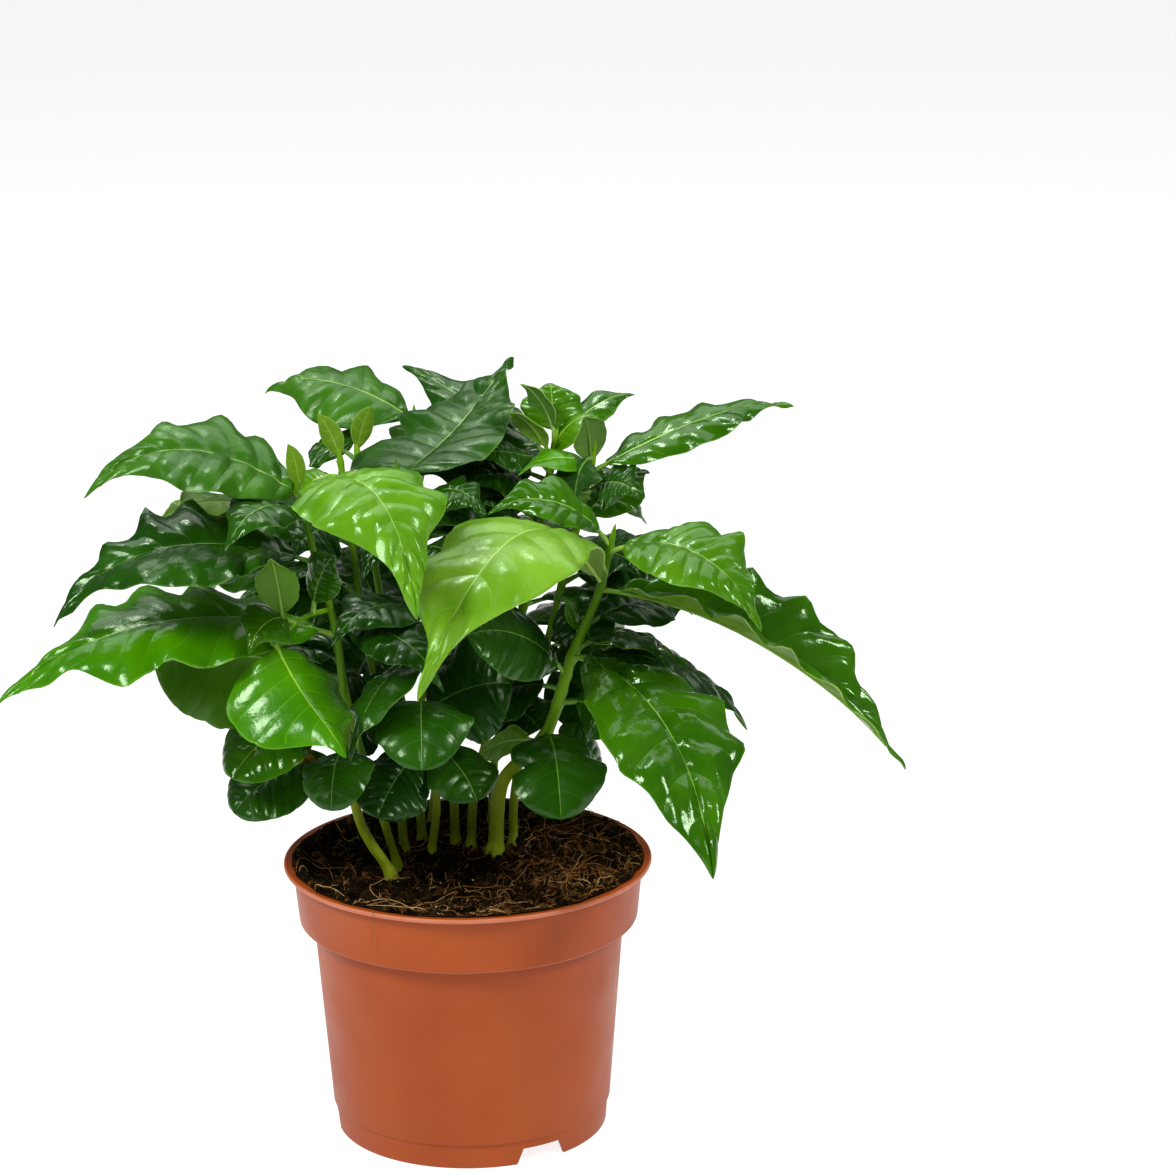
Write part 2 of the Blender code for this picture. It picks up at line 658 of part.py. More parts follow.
def fill_leaves(shoot, number, paths):
    """Pairs of leaves at right angles to the pair below, up the stem, as the plant grows them."""
    dice = random.Random(FILL_SEED + number)
    low, high = shoot.fork + FILL_LOW, shoot.path[-1][2] - FILL_HIGH
    turn = dice.uniform(0.0, 90.0)
    for pair in range(shoot.fills):
        height = low + (high - low) * pair / (shoot.fills - 1)
        for half in (0.0, 180.0):
            way = math.radians(turn + 90.0 * pair + half + dice.uniform(*FILL_STRAY))
            low_leaf = height < FILL_ROUND_BELOW
            length = dice.uniform(*(FILL_ROUND_LENGTH if low_leaf else FILL_LENGTH))
            if math.sin(way) < FILL_BACKWARD:
                length *= FILL_FRONT_SHARE
            rise = math.radians(dice.uniform(*FILL_RISE))
            base = at_height(paths[0], height)
            reach = Vector((math.cos(way) * math.cos(rise), math.sin(way) * math.cos(rise), math.sin(rise)))
            reach *= length
            tip = base + reach
            over = tip.z + FILL_ARCH / 2.0 - dome_height(tip.x, tip.y)
            if over > 0.0:
                reach.z -= over
            width = length * (FILL_ROUND_WIDE if low_leaf else FILL_WIDE)
            yield leaf(height, reach.x, reach.y, reach.z, width, arch=FILL_ARCH,
                       roll=dice.uniform(*FILL_ROLL), kind=ROUND if low_leaf else BLADE)


def build_crown(shoot, items, parts, extras, mat):
    """One mass: its twig, and every leaf fused on to it."""
    points, radii = twig_points(shoot)
    crown = tube("crown_" + shoot.name, points, radii, TWIG_BEVEL, parts)
    crown.data.materials.append(mat)
    for twig in shoot.twigs:
        path = curve_through(twig, PATH_STEPS)[::TWIG_SKIP]
        tube("side_twig", path, [TWIG_TOP_RADIUS] * len(path), TWIG_BEVEL, extras)
    for work in items:
        mesh = bpy.data.meshes.new("leaf")
        work.to_mesh(mesh)
        work.free()
        link_mesh("leaf", mesh, extras)
    fuse = crown.modifiers.new("fuse", "BOOLEAN")
    fuse.operation = "UNION"
    fuse.solver = "EXACT"
    fuse.operand_type = "COLLECTION"
    fuse.collection = extras
    bpy.context.view_layer.update()
    graph = bpy.context.evaluated_depsgraph_get()
    mesh = bpy.data.meshes.new_from_object(crown.evaluated_get(graph))
    crown.modifiers.clear()
    crown.data = mesh
    mesh.materials.clear()
    mesh.materials.append(mat)
    for obj in list(extras.objects):
        bpy.data.objects.remove(obj, do_unlink=True)
    return crown


def tree_of_object(obj):
    work = bmesh.new()
    work.from_mesh(obj.data)
    tree = BVHTree.FromBMesh(work)
    work.free()
    return tree


def evaluated_tree(obj):
    bpy.context.view_layer.update()
    return BVHTree.FromObject(obj, bpy.context.evaluated_depsgraph_get())


def main():
    clear_scene()
    parts = new_collection("potted_coffee_plant")
    cutters = new_collection("cutters")
    extras = new_collection("extras")
    crowd = Crowd()
    pot = build_pot(parts, cutters)
    crowd.add("pot", evaluated_tree(pot))
    crowd.add("soil", tree_of_object(build_soil(parts)))
    bark = material("green_stem", (0.20, 0.27, 0.06), 0.55)
    green = material("leaf_green", (0.045, 0.16, 0.018), 0.3)
    for shoot in SHOOTS:
        stem = build_stem(shoot, parts, bark)
        crowd.add("stem_%s" % shoot.name, tree_of_object(stem))
    all_paths = [limb_paths(shoot) for shoot in SHOOTS]
    for shoot, paths in zip(SHOOTS, all_paths):
        points, radii = twig_points(shoot)
        twig = tube("twig", points, radii, TWIG_BEVEL, extras)
        crowd.add(shoot.name, tree_of_object(twig))
        bpy.data.objects.remove(twig, do_unlink=True)
    grown = [[] for _ in SHOOTS]
    for place, (shoot, paths) in enumerate(zip(SHOOTS, all_paths)):
        for index, item in enumerate(shoot.leaves):
            work, blocker = try_leaf(shoot, paths, item, crowd)
            if work:
                grown[place].append(work)
            else:
                print("skipped", shoot.name, index, "touches", blocker)
    for place, (shoot, paths) in enumerate(zip(SHOOTS, all_paths)):
        for item in fill_leaves(shoot, place, paths):
            work, blocker = try_leaf(shoot, paths, item, crowd)
            if work:
                grown[place].append(work)
    for place, shoot in enumerate(SHOOTS):
        build_crown(shoot, grown[place], parts, extras, green)
    bpy.data.collections.remove(extras)


main()
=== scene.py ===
import math
import random
from collections import namedtuple
from functools import partial

import bmesh
import bpy
import numpy as np
from mathutils import Matrix, Vector, noise
from mathutils.bvhtree import BVHTree


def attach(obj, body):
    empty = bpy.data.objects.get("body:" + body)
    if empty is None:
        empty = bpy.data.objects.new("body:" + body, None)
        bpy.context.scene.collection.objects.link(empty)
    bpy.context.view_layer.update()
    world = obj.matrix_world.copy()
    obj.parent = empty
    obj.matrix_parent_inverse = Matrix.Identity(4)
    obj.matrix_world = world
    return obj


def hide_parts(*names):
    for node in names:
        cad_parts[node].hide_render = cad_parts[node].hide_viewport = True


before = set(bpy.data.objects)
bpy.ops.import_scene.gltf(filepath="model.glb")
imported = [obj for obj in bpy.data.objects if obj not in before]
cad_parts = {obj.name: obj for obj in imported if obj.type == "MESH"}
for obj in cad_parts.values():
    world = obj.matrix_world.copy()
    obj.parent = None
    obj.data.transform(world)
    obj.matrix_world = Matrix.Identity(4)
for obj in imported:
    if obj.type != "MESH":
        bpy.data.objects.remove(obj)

MM = 0.001
UP = Vector((0.0, 0.0, 1.0))
BODY = "root"

# The limbs' and leaves' rule, as the CAD source has it
SOIL_TOP = 87.4
SOIL_RISE_RIGHT = 0.012
SOIL_RISE_BACK = 0.022
SOIL_LUMP = 0.7
SOIL_LUMP_FREE = 40.0
LUMP_X = 0.16
LUMP_X_START = 1.3
LUMP_Y = 0.19
LUMP_Y_START = -0.4
LUMP_CROSS = 0.6
LUMP_CROSS_X = 0.31
LUMP_CROSS_Y = 0.27
FLARE_HEIGHT = 5.0
FLARE = 1.35
PATH_STEPS = 24
STEM_TOP_RADIUS = 1.0
TWIG_TOP_RADIUS = 0.85
BLADE_POWER = 0.8
ROUND_POWER = 0.42
ROUND_FULLER = 0.14
BUD_POWER = 0.9
DRIP_START = 0.6
DRIP_LONG = 0.3
DRIP_NARROW = 0.5
PETIOLE_MOST = 0.3
ARCH_LENGTHENS = 0.6
SUNK_SHARE = 0.35
FILL_SEED = 11
FILL_LOW = 8.0
FILL_HIGH = 10.0
FILL_ROUND_BELOW = 150.0
FILL_LENGTH = (62.0, 88.0)
FILL_ROUND_LENGTH = (34.0, 46.0)
FILL_FRONT_SHARE = 0.55
FILL_BACKWARD = 0.1
FILL_STRAY = (-18.0, 18.0)
FILL_RISE = (-14.0, 16.0)
FILL_ROLL = (-15.0, 15.0)
FILL_WIDE = 0.5
FILL_ROUND_WIDE = 0.8
FILL_ARCH = 8.0
DOME_TOP = 232.0
DOME_SIDE = 0.0055
DOME_BACK = 0.36
KEPT_STOPS = (0.46, 0.8, 1.0)
KEPT_WITHIN = 0.75

# Leaf blades
LEAF_SEED = 5
INNER_FROM = 100
SHEET = 0.34
EDGE_LEAST = 0.16
RIB_BASE = 0.36
RIB_TIP = 0.12
RIB_MOST = 0.06
VEIN_HALF = 0.19
VEIN_FIRST = 0.6
VEIN_LAST = 0.7
COLUMNS = (0.1, 0.2, 0.31, 0.43, 0.55, 0.67, 0.79, 0.9, 0.975, 1.0)
VEIN_REACH = 0.9
LEAN_BLADE = 0.16
LEAN_ROUND = 0.24
LEAN_STRAIGHT = 0.65
LEAN_POWER = 2.5
ROWS_LARGE = 4
ROWS_SMALL = 2
SMALL_WIDTH = 16.0
FULL_WIDTH = 34.0
QUILT_POWER = 0.65
QUILT_UNEVEN = (0.55, 1.25)
QUILT_FROM = 0.12
QUILT_FLATTENS = 0.75
PILLOW_SHARE = 0.32
PILLOW_LENGTH = 5.0
PILLOW_SHIFT = 0.37
WAVE_POWER = 2.0
WAVE_FADE = 0.45
WAVE_SECOND = 1.7
WAVE_SECOND_SHARE = 0.25
WAVE_DRIFT = 0.35
SCALLOP = 0.03
RUFFLE = 0.045
CUP = 0.24
CURL = 0.07
HOOK_FROM = 0.7
HOOK = 4.0
ROUND_HOOK = 0.2
LIFT_FADE = 0.55
PETIOLE_SIDES = 8
PETIOLE_RINGS = 7
PETIOLE_ROOT = 0.95
PETIOLE_NECK = 0.74
PETIOLE_SLIM_WIDTH = 14.0
RIB_ROUND = 0.62
RIB_END = 0.16
RIB_SUNK = 0.55
RIB_STOP = 0.92
RIB_RINGS = 16
RIB_SINKS = 12.0
CELL_PAD = 0.04
RIM_PAD = 0.012
GUIDE_MOST = 0.8

# Burnt spots: mass, leaf, place along and across it and size
SCORCHED = (("low_left", 2, 0.2, 0.1, 0.15),)
SCORCH_LONG = 1.6
SCORCH_LOOKS = ("leaf_scorch", (88, 48, 14), (150, 104, 30), 0.6, 300.0)
# Lobes and nicks of a margin: mass, leaf, side (0 for both), place, change of width and reach
MARGINS = (
    ("main", 8, 1, 0.52, -0.3, 0.05),
    ("main", 2, 1, 0.76, 0.7, 0.08),
    ("main", 2, 1, 0.15, -0.15, 0.1),
    ("main", 2, -1, 0.24, -0.25, 0.1),
    ("main", 0, 1, 0.86, 0.8, 0.09),
    ("main", 0, 1, 0.66, 0.12, 0.08),
    ("main", 5, 1, 0.6, -0.45, 0.22),
    ("main", 5, 0, 0.93, -0.4, 0.07),
    ("left", 0, 1, 0.2, 0.3, 0.12),
    ("left", 0, 1, 0.68, -0.22, 0.12),
    ("left", 0, -1, 0.6, 0.15, 0.15),
    ("main", 2, 0, 0.94, -0.5, 0.07),
    ("left", 3, -1, 0.45, 0.5, 0.2),
    ("left", 3, -1, 0.78, 0.3, 0.1),
    ("left", 3, 1, 0.66, -0.35, 0.14),
    ("left", 4, 1, 0.8, -0.4, 0.12),
    ("left", 4, -1, 0.38, 0.08, 0.06),
    ("left", 4, -1, 0.5, -0.2, 0.05),
    ("left", 4, -1, 0.68, 0.38, 0.06),
    ("left", 4, -1, 0.77, -0.15, 0.03),
    ("left", 4, -1, 0.87, 0.35, 0.04),
    ("left", 1, -1, 0.1, -0.35, 0.1),
    ("left", 1, -1, 0.45, -0.15, 0.15),
    ("left", 1, 1, 0.15, -0.3, 0.08),
    ("middle", 0, -1, 0.14, 0.45, 0.08),
    ("middle", 0, -1, 0.38, 0.15, 0.06),
    ("middle", 0, -1, 0.6, 0.6, 0.09),
    ("middle", 0, -1, 0.8, 0.3, 0.05),
)

# Pot
POT_SIDES = 240
CORNER_STEPS = 4
CORNER_MOST = 0.45
BASE_TOP = 6.0
BASE_UNDER = 4.6
LIP_TOP = 91.0
LIP_RADIUS = 60.0
LIP_THICK = 1.5
LIP_DISH = 0.5
BAND_TOP_RADIUS = 57.0
BAND_LOW_RADIUS = 55.2
BAND_LOW = 71.0
BAND_ROUND = 0.5
BAND_UNDER = 0.7
STEP_INNER_LOW = 71.2
STEP_INNER_TOP = 72.6
BODY_TOP_RADIUS = 50.6
BODY_LOW_RADIUS = 45.6
BODY_LOW = 8.5
FOOT_TOP_RADIUS = 44.8
FOOT_LOW_RADIUS = 44.3
FOOT_INNER_RADIUS = 43.0
FOOT_STEP = 0.4
FOOT_DROP = 1.2
PAD_RADIUS = 9.0
WALL = 1.2
NOTCH_COUNT = 3
NOTCH_FIRST_TURN = -59.6
NOTCH_HEIGHT = 5.4
NOTCH_BELOW = 2.0
NOTCH_INNER = 42.0
NOTCH_OUTER = 48.0
NOTCH_LOW_ANGLE = 26.0
NOTCH_TOP_ANGLE = 18.0
HOLE_COUNT = 6
HOLE_FIRST_TURN = 34.0
HOLE_RING = 27.0
HOLE_RADIUS = 4.0
HOLE_SIDES = 32
HOLE_DEEP = 4.0
POT_LOW = (150, 62, 12)
POT_HIGH = (160, 71, 19)
# Painted highlight: the lip's outer edge and the band's lower edge take this lighter, pinker tone, where
# light catches them
POT_EDGE_HIGHLIGHT_LOW = (176, 92, 56)
POT_EDGE_HIGHLIGHT_HIGH = (190, 112, 80)
POT_ROUGH = 0.45
POT_MOTTLE = 22.0
POT_GRAIN = 260.0
POT_GRAIN_DEPTH = 0.03
POT_GLOSS = 0.25
POT_SHARP = 35.0
EDGE_ROUGH = 0.5
EDGE_MOTTLE = 60.0
EDGE_HIGHLIGHT_BOUNDS = (0.1, 1.0, 0.3)

# Soil
SOIL_SIDES = 260
SOIL_RINGS = 96
SOIL_REACH = 58.2
SOIL_GAP = 0.5
SOIL_SHOULDER = 73.4
SOIL_BANK = 2.0
SOIL_BANK_FROM = 0.45
SOIL_BANK_WAY = 0.6
SOIL_BANK_LEAST = 0.3
SOIL_RIM_FROM = 0.86
SOIL_RIM_TO = 0.95
SOIL_RIM_TOP = 91.05
SOIL_RIM_ROUGH = 0.35
SOIL_RAGGED = 0.9
RAGGED_TURNS = 8.0
RAGGED_PLACE = 3.0
CLOD_SCALE = 0.13
CLOD_HIGH = 1.7
LOOSE_SCALE = 0.3
LOOSE_HIGH = 2.0
LOOSE_DETAIL = 4
ROUGH_SUNK = 1.4
PEAT_LOW = (6, 4, 0)
PEAT_HIGH = (26, 18, 6)
PEAT_ROUGH = 0.9
PEAT_MOTTLE = 240.0
PEAT_GRAIN = 700.0
PEAT_GRAIN_DEPTH = 0.5
TONE_MIX = (0, 0, 0, 1, 1, 2)
CRUMB_SEED = 3
CRUMB_COUNT = 2600
CRUMB_MOTTLE = 400.0
CRUMB_LARGE_EVERY = 5
CRUMB_SIZES = ((0.25, 0.75), (0.6, 1.4))
CRUMB_STRETCH = (0.6, 1.4)
CRUMB_UNEVEN = (0.75, 1.2)
CRUMB_OUT = 0.25
CRUMB_EDGE = 0.6
CRUMB_SHARP = 30.0
GRAIN_COUNT = 26
GRAIN_SIZES = (0.22, 0.42)
GRAIN_LOOKS = ("white_grain", (190, 186, 176), (226, 224, 216), 0.7)
CRUMB_TONES = (
    ("crumb_dark", (8, 5, 0), (22, 15, 4)),
    ("crumb_brown", (28, 19, 6), (50, 34, 13)),
    ("crumb_tan", (66, 44, 18), (94, 64, 30)),
)
FIBRE_SEED = 8
FIBRE_COUNT = 1000
FIBRE_SIDES = 5
FIBRE_POINTS = 14
FIBRE_ROUGH = 0.8
FIBRE_MOTTLE = 200.0
FIBRE_AHEAD = (-0.1, 1.1)
FIBRE_INNER = 0.05
FIBRE_OUTER = 0.95
FIBRE_LONG_EVERY = 9
FIBRE_ARCH_EVERY = 3
FIBRE_LENGTHS = ((4.0, 14.0), (16.0, 32.0))
FIBRE_RADII = ((0.06, 0.12), (0.09, 0.15))
FIBRE_LIFTS = ((0.0, 0.5), (0.3, 2.6))
FIBRE_BEND = 0.12
FIBRE_KINK = 0.16
FIBRE_RAISED = 0.8
FIBRE_EDGE = 0.3
FIBRE_THIN = 0.35
FIBRE_TAPER = (0.12, 0.95)
FIBRE_TONES = (
    ("fibre_brown", (66, 40, 12), (96, 60, 22)),
    ("fibre_tan", (124, 80, 36), (152, 104, 54)),
    ("fibre_pale", (170, 128, 78), (196, 156, 108)),
)
# One long rootlet that hangs over the lip
HANGING = ((-31.5, -45.0, 88.6), (-30.8, -48.0, 90.2), (-30.4, -50.4, 91.5), (-30.2, -51.9, 91.1),
           (-30.2, -52.4, 89.0), (-30.6, -49.9, 84.0), (-30.5, -49.2, 79.0), (-31.2, -48.6, 75.4))
HANGING_RADIUS = 0.09
HANGING_STEPS = 5

# Stems and twigs
STEM_SIDES = 14
STEM_RING = 1.3
STEM_SUNK = 2.5
NODE_SWELL = 0.22
NODE_LONG = 1.5
RIDGE = 0.045
BARK_ROUGH = 0.06
BARK_ROUND = 0.9
BARK_LONG = 0.35
SWELL_MOST = 1.3
RIDGE_COUNT = 4.0
TOP_LONG = 5.0
TOP_TAPER = ((0.4, 0.8), (0.8, 0.4), (1.0, 0.1))
TWIG_SIDES = 10
TWIG_THINNED = 3
SCALE_LONG = 2.2
BARKS = (("green_bark", (112, 132, 12), (158, 172, 40), 0.5),
         ("green_twig", (62, 110, 0), (106, 150, 14), 0.45))
SCALE_SIDES = 6
SCALE_FOOT = 0.4
SCALE_OUT = (0.75, 0.35)
SCALE_TAPER = ((0.0, 0.72), (0.35, 0.63), (0.7, 0.36), (1.0, 0.08))

Leaf = namedtuple(
    "Leaf", "at right back up width arch lag sweep roll twist fold petiole belly kind limb"
    " shade waves wavy quilt veins hook lift")
Shoot = namedtuple("Shoot", "name path fork girth leaves twigs fills")
Shade = namedtuple("Shade", "low high vein rib under fleck rough")

BLADE, ROUND, YOUNG, BUD = "blade", "round", "young", "bud"

# In light, bright and satin the vein tone is darker than the blade: painted shade in the side-vein
# furrows; in the other shades it is the veins' own paler colour
SHADES = {
    "light": Shade((88, 138, 16), (112, 158, 38), (86, 136, 22), (172, 204, 96),
                   (132, 166, 74), (118, 154, 60), 0.26),
    "bright": Shade((70, 122, 8), (94, 148, 20), (64, 114, 10), (158, 196, 84),
                    (120, 158, 66), (106, 146, 50), 0.24),
    "vivid": Shade((50, 110, 0), (68, 130, 2), (78, 140, 8), (140, 186, 50),
                   (108, 148, 50), (96, 138, 40), 0.2),
    "fresh": Shade((50, 100, 2), (70, 120, 6), (80, 132, 14), (146, 186, 70),
                   (108, 144, 56), (96, 134, 44), 0.2),
    "satin": Shade((36, 84, 2), (54, 106, 10), (20, 60, 0), (134, 178, 64),
                   (116, 152, 62), (102, 140, 50), 0.3),
    "mid": Shade((34, 80, 0), (52, 102, 2), (60, 112, 8), (134, 178, 64),
                 (102, 142, 38), (90, 130, 28), 0.16),
    "dark": Shade((20, 60, 0), (32, 78, 2), (40, 88, 6), (108, 150, 54),
                  (84, 122, 48), (76, 112, 38), 0.26),
    # deep: the darkest leaf green, for leaves inside the crown and near the soil; partly their own dark
    # colour, partly painted shade
    "deep": Shade((10, 44, 0), (20, 60, 2), (24, 66, 4), (84, 126, 42),
                  (74, 112, 46), (66, 104, 36), 0.28),
    "ink": Shade((18, 58, 2), (32, 78, 4), (38, 86, 8), (108, 156, 54),
                 (74, 110, 46), (66, 104, 36), 0.2),
    "blue": Shade((22, 62, 4), (34, 78, 8), (44, 92, 16), (146, 182, 92),
                  (70, 112, 40), (60, 100, 30), 0.3),
    "olive": Shade((50, 94, 2), (62, 108, 6), (70, 116, 12), (118, 156, 52),
                   (78, 120, 20), (66, 106, 14), 0.36),
    "bud": Shade((80, 118, 12), (102, 140, 24), (116, 150, 40), (142, 170, 64),
                 (112, 142, 46), (100, 130, 40), 0.4),
}
FILL_SHADES_HIGH = ("mid", "dark", "mid", "deep", "fresh", "dark")
# Darker tones for fill leaves near the soil and inside the front masses: painted shade
FILL_TONES_PAINTED_SHADE = ("deep", "dark", "deep")
FULL_FILLS = 5

# Margin waves, their height, quilting and side veins of each kind
KIND_LOOKS = {
    BLADE: (3.4, 1.5, 0.8, 8),
    ROUND: (1.7, 1.5, 0.5, 6),
    YOUNG: (2.0, 0.8, 0.35, 6),
    BUD: (1.0, 0.1, 0.05, 4),
}


def leaf(at, right, back, up, width, arch=8.0, lag=0.0, sweep=0.0, roll=0.0, twist=0.0, fold=-6.0,
         petiole=6.0, belly=0.45, kind=BLADE, limb=0, shade="mid", waves=None, wavy=None,
         quilt=None, veins=None, hook=1.0, lift=0.0):
    """One leaf's named sizes, then its looks: shade, margin waves and their height, quilting, veins."""
    given = (waves, wavy, quilt, veins)
    looks = [own if own is not None else usual for own, usual in zip(given, KIND_LOOKS[kind])]
    return Leaf(at, right, back, up, width, arch, lag, sweep, roll, twist, fold, petiole, belly,
                kind, limb, shade, *looks, hook, lift)


# Round leaves sit low and take the deep tone by default, partly as painted shade
oval = partial(leaf, kind=ROUND, shade="deep")
young = partial(leaf, kind=YOUNG, shade="fresh")
bud = partial(leaf, kind=BUD, shade="bud")


